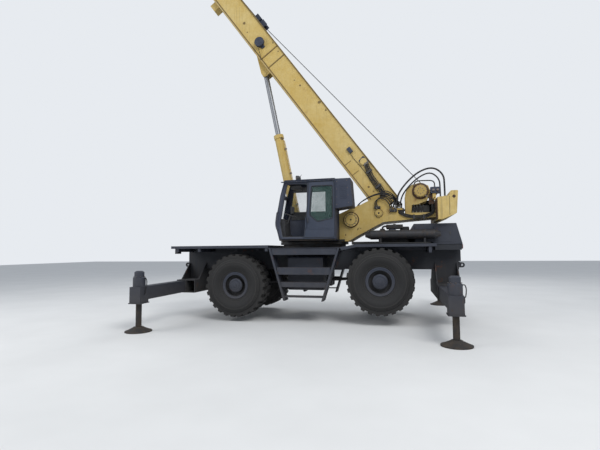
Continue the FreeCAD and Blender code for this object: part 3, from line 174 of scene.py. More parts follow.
class Graph:
    """The node tree of one material, with a Principled surface at its end."""

    def __init__(self, name: str) -> None:
        """Makes an empty material of that name."""
        self.material = bpy.data.materials.new(name)
        self.material.use_nodes = True
        self.tree = self.material.node_tree
        self.tree.nodes.clear()
        self.place = self.node("ShaderNodeTexCoord").outputs["Object"]

    def node(
        self,
        kind: str,
        settings: dict[str, object] | None = None,
        inputs: dict[Union[str, int], object] | None = None,
    ) -> bpy.types.Node:
        """Adds a node of any kind.

        Args:
            kind: Blender's name of the node type.
            settings: Attributes set before the sockets; "stops" fills a colour ramp.
            inputs: Values or links of its input sockets, by name or index.

        Returns:
            The node.
        """
        made = self.tree.nodes.new(kind)
        for name, value in (settings or {}).items():
            if name == "stops":
                ramp = made.color_ramp.elements
                while len(ramp) < len(value):
                    ramp.new(0.5)
                for stop, (at, colour) in zip(ramp, value):
                    stop.position, stop.color = at, colour
            else:
                setattr(made, name, value)
        for name, value in (inputs or {}).items():
            if isinstance(value, Value):
                self.tree.links.new(value.socket, made.inputs[name])
            elif isinstance(value, bpy.types.NodeSocket):
                self.tree.links.new(value, made.inputs[name])
            else:
                made.inputs[name].default_value = value
        return made

    def axes(self, vector: bpy.types.NodeSocket | None = None) -> tuple[Value, Value, Value]:
        """The x, y and z of a vector, or of the place on the object."""
        split = self.node("ShaderNodeSeparateXYZ", None, {0: vector or self.place})
        return tuple(Value(self, out) for out in split.outputs)

    def moved(
        self, centre: Point = (0, 0, 0), turn: Point = (0, 0, 0), scale: Point = (1, 1, 1)
    ) -> bpy.types.NodeSocket:
        """The place measured from a centre, turned and scaled."""
        off = self.node(
            "ShaderNodeVectorMath", {"operation": "SUBTRACT"}, {0: self.place, 1: centre}
        )
        made = self.node(
            "ShaderNodeMapping", None, {0: off.outputs[0], "Rotation": turn, "Scale": scale}
        )
        return made.outputs[0]

    def noise(
        self,
        scale: float,
        detail: float = 4.0,
        roughness: float = 0.55,
        vector: bpy.types.NodeSocket | None = None,
    ) -> Value:
        """A noise value from 0 to 1."""
        made = self.node(
            "ShaderNodeTexNoise",
            None,
            {
                "Vector": vector or self.place,
                "Scale": scale,
                "Detail": detail,
                "Roughness": roughness,
            },
        )
        return Value(self, made.outputs[0])

    def mix(self, share: Number, low: object, high: object) -> bpy.types.NodeSocket:
        """A colour between two colours.

        Args:
            share: 0 gives low and 1 gives high.
            low: A colour or a link.
            high: A colour or a link.

        Returns:
            The mixed colour's socket.
        """
        made = self.node(
            "ShaderNodeMix", {"data_type": "RGBA"}, {0: share, 6: low, 7: high}
        )
        return made.outputs[2]

    def bump(self, height: Value, distance: float, strength: float = 1.0) -> bpy.types.NodeSocket:
        """A normal raised by a height in metres of the given distance."""
        made = self.node(
            "ShaderNodeBump", None, {"Height": height, "Distance": distance, "Strength": strength}
        )
        return made.outputs[0]

    def finish(self, **surface: object) -> bpy.types.Material:
        """Puts the Principled surface at the end.

        Args:
            surface: Its sockets, with underscores for the spaces in their names.

        Returns:
            The material.
        """
        named = {key.replace("_", " "): value for key, value in surface.items()}
        shader = self.node("ShaderNodeBsdfPrincipled", None, named)
        self.node("ShaderNodeOutputMaterial", None, {"Surface": shader.outputs[0]})
        return self.material


class Seams(Enum):
    """Weld seams, with painted shade along the boom's edges, that a paint draws on the piece it covers.
    """

    NONE = 0
    BOOM = 1


@dataclass(frozen=True)
class Paint:
    """Weathered machine paint.

    Attributes:
        name: The material's name.
        colour: The sound paint.
        faded: The chalked paint that breaks through it.
        grime: Dirt in streaks and low down.
        rust: The colour of its rust.
        rust_share: How much of the surface is rusty, from 0 to 1.
        grime_share: How dark the streaks are, from 0 to 1.
        mud_top: The height up to which road dust lies.
        roughness: The roughness of sound paint.
        seams: The weld seams to draw, with painted shade along the boom's edges.
    """

    name: str
    colour: Colour
    faded: Colour
    grime: Colour = (0.045, 0.038, 0.030, 1)
    rust: Colour = (0.16, 0.055, 0.018, 1)
    rust_share: float = 0.25
    grime_share: float = 0.5
    mud_top: float = 0.0
    roughness: float = 0.48
    seams: Seams = Seams.NONE

    def material(self) -> bpy.types.Material:
        """Builds the paint's nodes."""
        g = Graph(self.name)
        broad = g.noise(0.9, 3)
        mottle = g.noise(7.0, 6, 0.65)
        grain = g.noise(90.0, 3, 0.6)
        colour = g.mix((broad * 0.65 + mottle * 0.5).between(0.42, 0.78), self.colour, self.faded)
        streak = g.noise(1.0, 5, 0.6, g.moved(scale=(26.0, 26.0, 0.9)))
        runs = (streak.between(0.52, 0.74) * broad.between(0.38, 0.62)).clamped()
        colour = g.mix(runs * self.grime_share, colour, self.grime)
        chips = g.noise(4.6, 2).between(0.735, 0.755) * grain.between(0.25, 0.45)
        colour = g.mix(chips.clamped() * 0.8, colour, (0.035, 0.018, 0.010, 1))
        blots = g.noise(3.1, 8, 0.72)
        rusty = (blots.between(0.60, 0.66) * grain.between(0.35, 0.6)).clamped()
        rusty = rusty * min(1.0, self.rust_share * 2)
        height = mottle * 0.4 + grain * 0.25
        if self.seams is Seams.BOOM:
            lines, edge = self._boom_seams_and_shade(g)
            # Greys the bent lower flange: painted shade.
            colour = g.mix(edge * 0.28, colour, (0.36, 0.32, 0.23, 1))
            # The seam mask holds the weld seams, the rust rings and painted shade along the top edge.
            seam_stain_and_shade = (lines * (0.55 + mottle * 0.9)).clamped()
            colour = g.mix(seam_stain_and_shade * 0.85, colour, (0.085, 0.050, 0.012, 1))
            height = height + lines * 0.8
        colour = g.mix(rusty, colour, self.rust)
        rough = self.roughness + 0.22 * mottle + 0.3 * rusty
        if self.mud_top > 0:
            z = g.axes()[2]
            mud = ((self.mud_top - z) / self.mud_top * 1.2 - 0.35 + 0.8 * mottle).clamped() * 0.75
            colour = g.mix(mud * 0.8, colour, (0.060, 0.052, 0.043, 1))
            rough = rough + 0.25 * mud
        return g.finish(
            Base_Color=colour,
            Roughness=rough.clamped(),
            Normal=g.bump(height, 0.0025, 0.6),
        )

    @staticmethod
    def _boom_seams_and_shade(g: Graph) -> tuple[Value, Value]:
        """Masks of the dark weld seams, whose top line also lays painted shade along the boom's top edge,
        and of the bent lower flange under the long one, which takes painted shade.
        """
        turned = g.moved((FOOT_PIN[0], 0, FOOT_PIN[1]), (0, BOOM_ANGLE, 0))
        u, _, w = g.axes(turned)
        lower = w.band(0.064, 0.013, 0.006)
        # The top line sits on the top edge and is widened there: part weld seam, part painted shade of
        # the flange.
        top_seam_and_shade = w.band(0.712, 0.010, 0.010)
        strap = u.band(5.81, 0.018, 0.010).at_least(u.band(6.20, 0.018, 0.010))
        side = w.band(0.37, 0.33, 0.01)
        rib = u.band(1.77, 0.009, 0.006).at_least(u.band(1.39, 0.009, 0.006))
        rib = rib * w.band(0.19, 0.11, 0.01)
        lines = lower.at_least(top_seam_and_shade).at_least(strap * side).at_least(rib)
        ragged = g.noise(22.0, 4, 0.7) * 0.05
        for spot_u, spot_w, size in ((7.58, 0.324, 0.048), (7.26, 0.223, 0.022),
                                     (6.03, 0.617, 0.024), (4.66, 0.500, 0.030),
                                     (3.83, 0.631, 0.050), (3.50, 0.640, 0.030),
                                     (0.82, 0.241, 0.034), (0.63, 0.270, 0.024)):
            du, dw = u - spot_u, w - spot_w
            away = (du * du + dw * dw).power(0.5) + ragged
            lines = lines.at_least(away.between(size + 0.030, size + 0.015))
        # The second mask is the bent lower flange, which takes painted shade.
        return lines, w.band(0.028, 0.028, 0.006)


@dataclass(frozen=True)
class Metal:
    """Bare metal with stains.

    Attributes:
        name: The material's name.
        colour: The bright metal.
        stain: The stained metal.
        stain_share: How much of it is stained, from 0 to 1.
        metallic: How metallic the bright part is.
        roughness: The roughness of the bright part.
        scale: The size of the pattern, in spots per metre.
    """

    name: str
    colour: Colour
    stain: Colour
    stain_share: float = 0.4
    metallic: float = 1.0
    roughness: float = 0.3
    scale: float = 9.0

    def material(self) -> bpy.types.Material:
        """Builds the metal's nodes."""
        g = Graph(self.name)
        spots = g.noise(self.scale, 7, 0.65)
        grain = g.noise(self.scale * 14, 3)
        low = 0.72 - 0.35 * self.stain_share
        mask = (spots * 0.8 + grain * 0.2).between(low - 0.08, low + 0.10)
        return g.finish(
            Base_Color=g.mix(mask, self.colour, self.stain),
            Metallic=(self.metallic * (1.0 - mask * 0.8)).clamped(),
            Roughness=(self.roughness + 0.35 * mask + 0.08 * grain).clamped(),
            Normal=g.bump(spots * 0.3 + grain * 0.5, 0.0012, 0.5),
        )


@dataclass(frozen=True)
class Tread:
    """Tyre rubber, with ribs round the sidewall of one wheel.

    Attributes:
        name: The material's name.
        centre: The wheel's centre.
    """

    name: str
    centre: Point

    def material(self) -> bpy.types.Material:
        """Builds the rubber's nodes."""
        g = Graph(self.name)
        x, _, z = g.axes(g.moved(self.centre))
        reach = (x * x + z * z).power(0.5)
        mottle = g.noise(6.0, 7, 0.7)
        fine = g.noise(60.0, 4, 0.6)
        fill = g.noise(1.6, 4)
        dusty = (mottle * 0.8 + fill * 0.7 - 0.35 + reach.between(0.70, 0.86) * 0.30).clamped()
        colour = g.mix(dusty, (0.0075, 0.0078, 0.0090, 1), (0.024, 0.0225, 0.021, 1))
        rings = reach.band(0.402, 0.007, 0.004) + reach.band(0.455, 0.003, 0.003)
        rings = rings + reach.band(0.655, 0.010, 0.004) + reach.band(0.722, 0.004, 0.003)
        colour = g.mix((rings * 0.25).clamped(), colour, (0.055, 0.050, 0.045, 1))
        height = rings * 0.9 + mottle * 0.35 + fine * 0.15
        return g.finish(
            Base_Color=colour,
            Roughness=(0.72 + 0.2 * dusty).clamped(),
            Normal=g.bump(height, 0.006, 0.8),
        )


@dataclass(frozen=True)
class Rubber:
    """Plain rubber, plastic or cloth with a fine grain.

    Attributes:
        name: The material's name.
        colour: The clean colour.
        dusty: The dusty colour.
        roughness: Its roughness.
        grain: Grains per metre.
        depth: The depth of the grain in metres.
    """

    name: str
    colour: Colour
    dusty: Colour
    roughness: float = 0.6
    grain: float = 160.0
    depth: float = 0.0008

    def material(self) -> bpy.types.Material:
        """Builds the grained surface's nodes."""
        g = Graph(self.name)
        dust = (g.noise(9.0, 6, 0.65)).between(0.42, 0.72)
        fine = g.noise(self.grain, 3, 0.6)
        return g.finish(
            Base_Color=g.mix(dust * 0.7, self.colour, self.dusty),
            Roughness=(self.roughness + 0.2 * dust + 0.1 * fine).clamped(),
            Normal=g.bump(fine, self.depth, 0.7),
        )


@dataclass(frozen=True)
class Pane:
    """Tinted cab glass with a film of dust.

    Attributes:
        name: The material's name.
        tint: The glass colour.
        alpha: How much it hides.
    """

    name: str
    tint: Colour
    alpha: float = 0.13

    def material(self) -> bpy.types.Material:
        """Builds the glass's nodes."""
        g = Graph(self.name)
        film = g.noise(3.2, 5, 0.6).between(0.35, 0.75)
        specks = g.noise(45.0, 3).between(0.55, 0.75)
        cover = (self.alpha + 0.07 * film + 0.04 * specks).clamped()
        return g.finish(
            Base_Color=g.mix(film * 0.4, self.tint, (0.16, 0.18, 0.17, 1)),
            Roughness=(0.04 + 0.12 * film).clamped(),
            Alpha=cover,
            Normal=g.bump(film, 0.0004, 0.3),
        )


@dataclass(frozen=True)
class Weave:
    """Seat cloth with a woven rib.

    Attributes:
        name: The material's name.
        colour: The cloth.
        worn: The worn cloth.
    """

    name: str
    colour: Colour
    worn: Colour

    def material(self) -> bpy.types.Material:
        """Builds the cloth's nodes."""
        g = Graph(self.name)
        x, y, z = g.axes()
        rib = ((y * 900.0).sine() * 0.5 + 0.5) * ((x * 620.0 + z * 620.0).sine() * 0.5 + 0.5)
        wear = g.noise(5.0, 5).between(0.45, 0.7)
        return g.finish(
            Base_Color=g.mix((wear * 0.6 + rib * 0.25).clamped(), self.colour, self.worn),
            Roughness=(0.85 + 0.1 * rib).clamped(),
            Normal=g.bump(rib, 0.0015, 0.8),
        )


@dataclass(frozen=True)
class Strands:
    """Wire rope laid in strands along the piece's own UV map.

    Attributes:
        name: The material's name.
    """

    name: str

    def material(self) -> bpy.types.Material:
        """Builds the rope's nodes."""
        g = Graph(self.name)
        uv = g.node("ShaderNodeTexCoord").outputs["UV"]
        u, v, _ = g.axes(uv)
        lay = ((u * 2 * math.pi * 6.0 + v * 60.0).sine() * 0.5 + 0.5).power(0.6)
        grease = g.noise(14.0, 4).between(0.4, 0.7)
        colour = g.mix(lay, (0.010, 0.010, 0.010, 1), (0.075, 0.072, 0.068, 1))
        return g.finish(
            Base_Color=g.mix(grease * 0.6, colour, (0.020, 0.017, 0.014, 1)),
            Metallic=(0.75 * lay).clamped(),
            Roughness=(0.42 + 0.2 * grease).clamped(),
            Normal=g.bump(lay, 0.003, 1.0),
        )


@dataclass(frozen=True)
class Lens:
    """A moulded lamp lens with fine ribs.

    Attributes:
        name: The material's name.
        colour: The lens.
    """

    name: str
    colour: Colour

    def material(self) -> bpy.types.Material:
        """Builds the lens's nodes."""
        g = Graph(self.name)
        _, y, z = g.axes()
        ribs = (y * 520.0).sine() * 0.5 + (z * 520.0).sine() * 0.5
        dust = g.noise(16.0, 5).between(0.45, 0.75)
        return g.finish(
            Base_Color=g.mix(dust * 0.5, self.colour, (0.20, 0.17, 0.14, 1)),
            Roughness=(0.16 + 0.3 * dust).clamped(),
            Normal=g.bump(ribs, 0.001, 0.5),
        )


class Finishes:
    """Every finish on the crane, built once and looked up by name."""

    def __init__(self) -> None:
        """Builds the materials."""
        yellow: Colour = (0.430, 0.290, 0.066, 1)
        chalk: Colour = (0.520, 0.400, 0.160, 1)
        slate: Colour = (0.0170, 0.0200, 0.0320, 1)
        slate_faded: Colour = (0.032, 0.037, 0.052, 1)
        recipes = [
            Paint("boom_yellow", yellow, chalk, rust_share=0.16, grime_share=0.35,
                  seams=Seams.BOOM),
            Paint("body_yellow", yellow, chalk, rust_share=0.30, grime_share=0.65),
            Paint("winch_yellow", (0.350, 0.235, 0.055, 1), (0.410, 0.310, 0.120, 1),
                  rust_share=0.45, grime_share=0.85),
            Paint("cylinder_yellow", yellow, chalk, rust_share=0.12, grime_share=0.45),
            Paint("slate_paint", slate, slate_faded, rust_share=0.16, grime_share=0.40,
                  mud_top=1.4),
            Paint("cab_slate", (0.0165, 0.0225, 0.0430, 1), (0.029, 0.037, 0.060, 1),
                  rust_share=0.10, grime_share=0.30),
            Paint("door_slate", (0.0190, 0.0275, 0.0500, 1), (0.034, 0.044, 0.070, 1),
                  rust_share=0.08, grime_share=0.30),
            Paint("chassis_paint", (0.0110, 0.0130, 0.0190, 1), (0.022, 0.025, 0.032, 1),
                  rust_share=0.35, grime_share=0.6, mud_top=1.7, roughness=0.62),
            Paint("wheel_paint", (0.0175, 0.0235, 0.0410, 1), (0.036, 0.044, 0.065, 1),
                  rust_share=0.22, grime_share=0.5, mud_top=1.4, roughness=0.55),
            Metal("muffler_steel", (0.030, 0.030, 0.033, 1), (0.044, 0.030, 0.021, 1), 0.45, 0.5, 0.5,
                  5.0),
            Metal("chrome_rod", (0.205, 0.212, 0.225, 1), (0.12, 0.12, 0.12, 1), 0.20, 0.75, 0.42, 4.0),
            Metal("bolt_steel", (0.20, 0.195, 0.19, 1), (0.12, 0.06, 0.03, 1), 0.6, 0.8, 0.45,
                  30.0),
            Metal("sheave_steel", (0.24, 0.23, 0.22, 1), (0.09, 0.06, 0.04, 1), 0.5, 0.8, 0.4,
                  12.0),
            Metal("engine_iron", (0.030, 0.030, 0.031, 1), (0.036, 0.026, 0.018, 1), 0.5, 0.3, 0.6),
            Metal("rusty_iron", (0.050, 0.030, 0.020, 1), (0.085, 0.038, 0.016, 1), 0.6, 0.2, 0.6,
                  11.0),
            Metal("float_steel", (0.030, 0.028, 0.027, 1), (0.060, 0.046, 0.034, 1), 0.6, 0.3,
                  0.7, 7.0),
            Metal("fitting_steel", (0.17, 0.165, 0.155, 1), (0.10, 0.065, 0.03, 1), 0.4, 0.9, 0.40,
                  40.0),
            Rubber("hose_rubber", (0.006, 0.006, 0.007, 1), (0.020, 0.019, 0.018, 1), 0.5),
            Rubber("seal_rubber", (0.010, 0.010, 0.011, 1), (0.032, 0.031, 0.030, 1), 0.62),
            Rubber("cab_trim", (0.030, 0.031, 0.034, 1), (0.065, 0.062, 0.058, 1), 0.55, 260.0,
                   0.0006),
            Rubber("rail_grip", (0.055, 0.060, 0.075, 1), (0.13, 0.12, 0.11, 1), 0.5, 60.0,
                   0.0005),
            Pane("cab_pane", (0.042, 0.112, 0.096, 1)),
            Weave("seat_cloth", (0.030, 0.032, 0.040, 1), (0.085, 0.084, 0.085, 1)),
            Strands("wire_rope"),
            Lens("clear_lens", (0.55, 0.56, 0.55, 1)),
            Lens("red_lens", (0.30, 0.012, 0.008, 1)),
        ]
        self.made = {recipe.name: recipe.material() for recipe in recipes}
        for tag, centre in WHEELS.items():
            self.made[f"tyre_{tag}"] = Tread(f"tyre_{tag}", centre).material()

    def __getitem__(self, name: str) -> bpy.types.Material:
        """The material of that name."""
        return self.made[name]


# Meshes


def add_object(
    name: str,
    vertices: Sequence[Sequence[float]],
    faces: Sequence[Sequence[int]],
    material: bpy.types.Material,
    smooth: bool = True,
) -> bpy.types.Object:
    """A mesh object at the origin.

    Args:
        name: The piece's name.
        vertices: Its corners in the crane's frame.
        faces: Its faces as lists of corner numbers.
        material: Its finish.
        smooth: Whether it is shaded smooth.

    Returns:
        The object, linked to the scene.
    """
    mesh = bpy.data.meshes.new(name)
    mesh.from_pydata([tuple(v) for v in vertices], [], [tuple(f) for f in faces])
    work = bmesh.new()
    work.from_mesh(mesh)
    bmesh.ops.remove_doubles(work, verts=work.verts, dist=1e-6)
    bmesh.ops.recalc_face_normals(work, faces=work.faces)
    work.to_mesh(mesh)
    work.free()
    mesh.materials.append(material)
    mesh.polygons.foreach_set("use_smooth", [smooth] * len(mesh.polygons))
    made = bpy.data.objects.new(name, mesh)
    bpy.context.scene.collection.objects.link(made)
    return made


def finish_mesh(made: bpy.types.Object) -> bpy.types.Object:
    """Turns an object's live modifiers into its plain mesh."""
    graph = bpy.context.evaluated_depsgraph_get()
    mesh = bpy.data.meshes.new_from_object(made.evaluated_get(graph))
    made.modifiers.clear()
    made.data = mesh
    return made


def rounded(made: bpy.types.Object, width: float, segments: int = 2) -> bpy.types.Object:
    """Rounds a piece's sharp edges with a Bevel that is applied."""
    bevel = made.modifiers.new("edge", "BEVEL")
    bevel.width, bevel.segments, bevel.limit_method = width, segments, "ANGLE"
    return finish_mesh(made)


def joined(name: str, parts: Sequence[bpy.types.Object]) -> bpy.types.Object:
    """One object from several, keeping their materials."""
    mesh = bpy.data.meshes.new(name)
    work = bmesh.new()
    for part in parts:
        for material in filter(None, part.data.materials):
            if material.name not in mesh.materials:
                mesh.materials.append(material)
        places = [mesh.materials.find(m.name) if m else 0 for m in part.data.materials]
        start = len(work.faces)
        work.from_mesh(part.data)
        work.faces.ensure_lookup_table()
        for face in work.faces[start:]:
            face.material_index = places[face.material_index]
    work.to_mesh(mesh)
    work.free()
    for part in parts:
        bpy.data.objects.remove(part)
    made = bpy.data.objects.new(name, mesh)
    bpy.context.scene.collection.objects.link(made)
    return made


def sweep(
    name: str,
    path: Sequence[Vector],
    radius: Union[float, Callable[[float], float]],
    material: bpy.types.Material,
    sides: int = 10,
    closed: bool = False,
    twist: float = 0.0,
    lobes: int = 0,
) -> bpy.types.Object:
    """A tube along a path, with a UV map of turn and length.

    Args:
        name: The piece's name.
        path: The points it follows.
        radius: Its radius, or a function of the share of the way along.
        material: Its finish.
        sides: Corners round the tube.
        closed: Whether the path ends where it starts.
        twist: Turns of the section per metre.
        lobes: Strands that stand out of the section.

    Returns:
        The tube.
    """
    points = [Vector(p) for p in path]
    count = len(points)
    lengths = [0.0]
    for a, b in zip(points, points[1:]):
        lengths.append(lengths[-1] + (b - a).length)
    frame_x: Vector | None = None
    vertices: list[Vector] = []
    for i, point in enumerate(points):
        ahead = points[(i + 1) % count] if closed or i + 1 < count else point
        behind = points[i - 1] if closed or i > 0 else point
        along = (ahead - behind).normalized()
        if frame_x is None:
            frame_x = along.orthogonal().normalized()
        frame_x = (frame_x - along * frame_x.dot(along)).normalized()
        frame_y = along.cross(frame_x)
        share = lengths[i] / lengths[-1]
        base = radius(share) if callable(radius) else radius
        for k in range(sides):
            a = 2 * math.pi * k / sides
            turn = a + 2 * math.pi * twist * lengths[i]
            r = base * (1 + 0.16 * math.cos(lobes * a)) if lobes else base
            vertices.append(point + frame_x * (r * math.cos(turn)) + frame_y * (r * math.sin(turn)))
    faces = []
    for i in range(count if closed else count - 1):
        j = (i + 1) % count
        for k in range(sides):
            m = (k + 1) % sides
            faces.append((i * sides + k, i * sides + m, j * sides + m, j * sides + k))
    if not closed:
        faces.append(tuple(range(sides))[::-1])
        faces.append(tuple((count - 1) * sides + k for k in range(sides)))
    made = add_object(name, vertices, faces, material)
    uv = made.data.uv_layers.new(name="length")
    for loop in made.data.loops:
        index = loop.vertex_index
        uv.data[loop.index].uv = ((index % sides) / sides, lengths[min(index // sides, count - 1)])
    return made


def turned(
    name: str,
    centre: Vector,
    axis: Vector,
    profile: Sequence[tuple[float, float]],
    material: bpy.types.Material,
    sides: int = 32,
) -> bpy.types.Object:
    """A solid turned about an axis.

    Args:
        name: The piece's name.
        centre: A point on the axis.
        axis: The axis.
        profile: (radius, distance along the axis) points from pole to pole.
        material: Its finish.
        sides: Corners round it.

    Returns:
        The turned piece.
    """
    along = axis.normalized()
    x = along.orthogonal().normalized()
    y = along.cross(x)
    vertices, faces, rings = [], [], []
    for r, t in profile:
        if r < 1e-6:
            rings.append([len(vertices)])
            vertices.append(centre + along * t)
            continue
        rings.append(list(range(len(vertices), len(vertices) + sides)))
        for k in range(sides):
            a = 2 * math.pi * k / sides
            vertices.append(
                centre + along * t + x * (r * math.cos(a)) + y * (r * math.sin(a))
            )
    for low, high in zip(rings, rings[1:]):
        for k in range(sides):
            m = (k + 1) % sides
            if len(low) == 1 and len(high) == 1:
                continue
            if len(low) == 1:
                faces.append((low[0], high[k], high[m]))
            elif len(high) == 1:
                faces.append((low[k], low[m], high[0]))
            else:
                faces.append((low[k], low[m], high[m], high[k]))
    made = add_object(name, vertices, faces, material)
    made.data.set_sharp_from_angle(angle=math.radians(35))
    return made


def slab(
    name: str,
    corners: Sequence[Vector],
    thickness: Vector,
    material: bpy.types.Material,
    edge: float = 0.004,
) -> bpy.types.Object:
    """A flat plate from its corners and its thickness, with rounded edges."""
    count = len(corners)
    vertices = [Vector(c) for c in corners] + [Vector(c) + thickness for c in corners]
    faces = [tuple(range(count))[::-1], tuple(range(count, 2 * count))]
    for i in range(count):
        j = (i + 1) % count
        faces.append((i, j, count + j, count + i))
    return rounded(add_object(name, vertices, faces, material, False), edge)


def brick(
    name: str, low: Point, high: Point, material: bpy.types.Material, edge: float = 0.004
) -> bpy.types.Object:
    """A block with rounded edges between two corners."""
    (x0, y0, z0), (x1, y1, z1) = low, high
    corners = [Vector(p) for p in ((x0, y0, z0), (x1, y0, z0), (x1, y1, z0), (x0, y1, z0))]
    return slab(name, corners, Vector((0, 0, z1 - z0)), material, edge)


def smooth_path(points: Sequence[Sequence[float]], steps: int = 12) -> list[Vector]:
    """Points along a smooth curve through the given ones."""
    p = [Vector(q) for q in points]
    p = [p[0] * 2 - p[1]] + p + [p[-1] * 2 - p[-2]]
    out = []
    for a, b, c, d in zip(p, p[1:], p[2:], p[3:]):
        for k in range(steps):
            t = k / steps
            out.append(
                0.5 * ((2 * b) + (c - a) * t + (2 * a - 5 * b + 4 * c - d) * t * t
                       + (3 * b - a - 3 * c + d) * t * t * t)
            )
    out.append(p[-2])
    return out


# Repeats


class Repeat(Enum):
    """The pattern that a Geometry Nodes tree lays its pieces in."""

    RING = "ring"
    ROW = "row"


class Fasteners:
    """Hexagon bolt heads laid in rings and rows by Geometry Nodes."""

    def __init__(self, finishes: Finishes) -> None:
        """Builds the two trees."""
        self.material = finishes["bolt_steel"]
        self.trees = {kind: self._tree(kind) for kind in Repeat}

    def _tree(self, kind: Repeat) -> bpy.types.NodeTree:
        """Builds the tree of one pattern.

        Args:
            kind: A ring about the tree's own Z, or a row along its X.

        Returns:
            The tree.
        """
        tree = bpy.data.node_groups.new(f"bolts_{kind.value}", "GeometryNodeTree")
        tree.is_modifier = True
        tree.interface.new_socket("Geometry", in_out="OUTPUT", socket_type="NodeSocketGeometry")
        for name, form in (
            ("Reach", "Float"), ("Count", "Int"), ("Head Radius", "Float"),
            ("Head Height", "Float"), ("Place", "Vector"), ("Turn", "Rotation"),
            ("Finish", "Material"),
        ):
            tree.interface.new_socket(name, in_out="INPUT", socket_type=f"NodeSocket{form}")
        new, link = tree.nodes.new, tree.links.new
        given = new("NodeGroupInput").outputs
        if kind is Repeat.RING:
            points = new("GeometryNodeMeshCircle")
            link(given["Count"], points.inputs["Vertices"])
            link(given["Reach"], points.inputs["Radius"])
        else:
            points = new("GeometryNodeMeshLine")
            points.mode, points.count_mode = "END_POINTS", "TOTAL"
            link(given["Count"], points.inputs["Count"])
            end = new("ShaderNodeCombineXYZ")
            link(given["Reach"], end.inputs["X"])
            link(end.outputs[0], points.inputs["Offset"])
        head = new("GeometryNodeMeshCylinder")
        head.inputs["Vertices"].default_value = 6
        link(given["Head Radius"], head.inputs["Radius"])
        link(given["Head Height"], head.inputs["Depth"])
        washer = new("GeometryNodeMeshCylinder")
        washer.inputs["Vertices"].default_value = 12
        wide = new("ShaderNodeMath")
        wide.operation = "MULTIPLY"
        wide.inputs[1].default_value = 1.35
        link(given["Head Radius"], wide.inputs[0])
        link(wide.outputs[0], washer.inputs["Radius"])
        thin = new("ShaderNodeMath")
        thin.operation = "MULTIPLY"
        thin.inputs[1].default_value = 0.45
        link(given["Head Height"], thin.inputs[0])
        link(thin.outputs[0], washer.inputs["Depth"])
        pair = new("GeometryNodeJoinGeometry")
        link(head.outputs["Mesh"], pair.inputs[0])
        link(washer.outputs["Mesh"], pair.inputs[0])
        spread = new("GeometryNodeInstanceOnPoints")
        link(points.outputs[0], spread.inputs["Points"])
        link(pair.outputs[0], spread.inputs["Instance"])
        placed = new("GeometryNodeTransform")
        link(spread.outputs[0], placed.inputs["Geometry"])
        link(given["Place"], placed.inputs["Translation"])
        link(given["Turn"], placed.inputs["Rotation"])
        real = new("GeometryNodeRealizeInstances")
        link(placed.outputs[0], real.inputs[0])
        dressed = new("GeometryNodeSetMaterial")
        link(real.outputs[0], dressed.inputs["Geometry"])
        link(given["Finish"], dressed.inputs["Material"])
        link(dressed.outputs[0], new("NodeGroupOutput").inputs[0])
        return tree

    def lay(
        self,
        kind: Repeat,
        place: Sequence[float],
        normal: Sequence[float],
        reach: float,
        count: int,
        size: float,
        along: Sequence[float] | None = None,
    ) -> bpy.types.Object:
        """Lays one ring or row of bolts.

        Args:
            kind: The pattern.
            place: The ring's centre, or the row's first bolt.
            normal: The way the heads face.
            reach: The ring's radius, or the row's length.
            count: How many bolts.
            size: Radius of a head.
            along: The row's direction.

        Returns:
            The bolts as a plain mesh.
        """
        z = Vector(normal).normalized()
        x = Vector(along).normalized() if along is not None else z.orthogonal().normalized()
        turn = Matrix((x, z.cross(x), z)).transposed().to_euler()
        mesh = bpy.data.meshes.new("bolts")
        made = bpy.data.objects.new("bolts", mesh)
        bpy.context.scene.collection.objects.link(made)
        live = made.modifiers.new("bolts", "NODES")
        live.node_group = self.trees[kind]
        values = {
            "Reach": reach, "Count": count, "Head Radius": size, "Head Height": size * 1.1,
            "Place": tuple(place), "Turn": turn, "Finish": self.material,
        }
        for socket in self.trees[kind].interface.items_tree:
            if socket.in_out == "INPUT":
                live[socket.identifier] = values[socket.name]
        return finish_mesh(made)

    def gather(self, name: str, body: str, rings: Iterable[bpy.types.Object]) -> None:
        """Joins rings and rows into one piece that rides on a body."""
        made = joined(name, list(rings))
        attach(made, body)
        LOG.info("%s on %s", name, body)


# Sub-assemblies


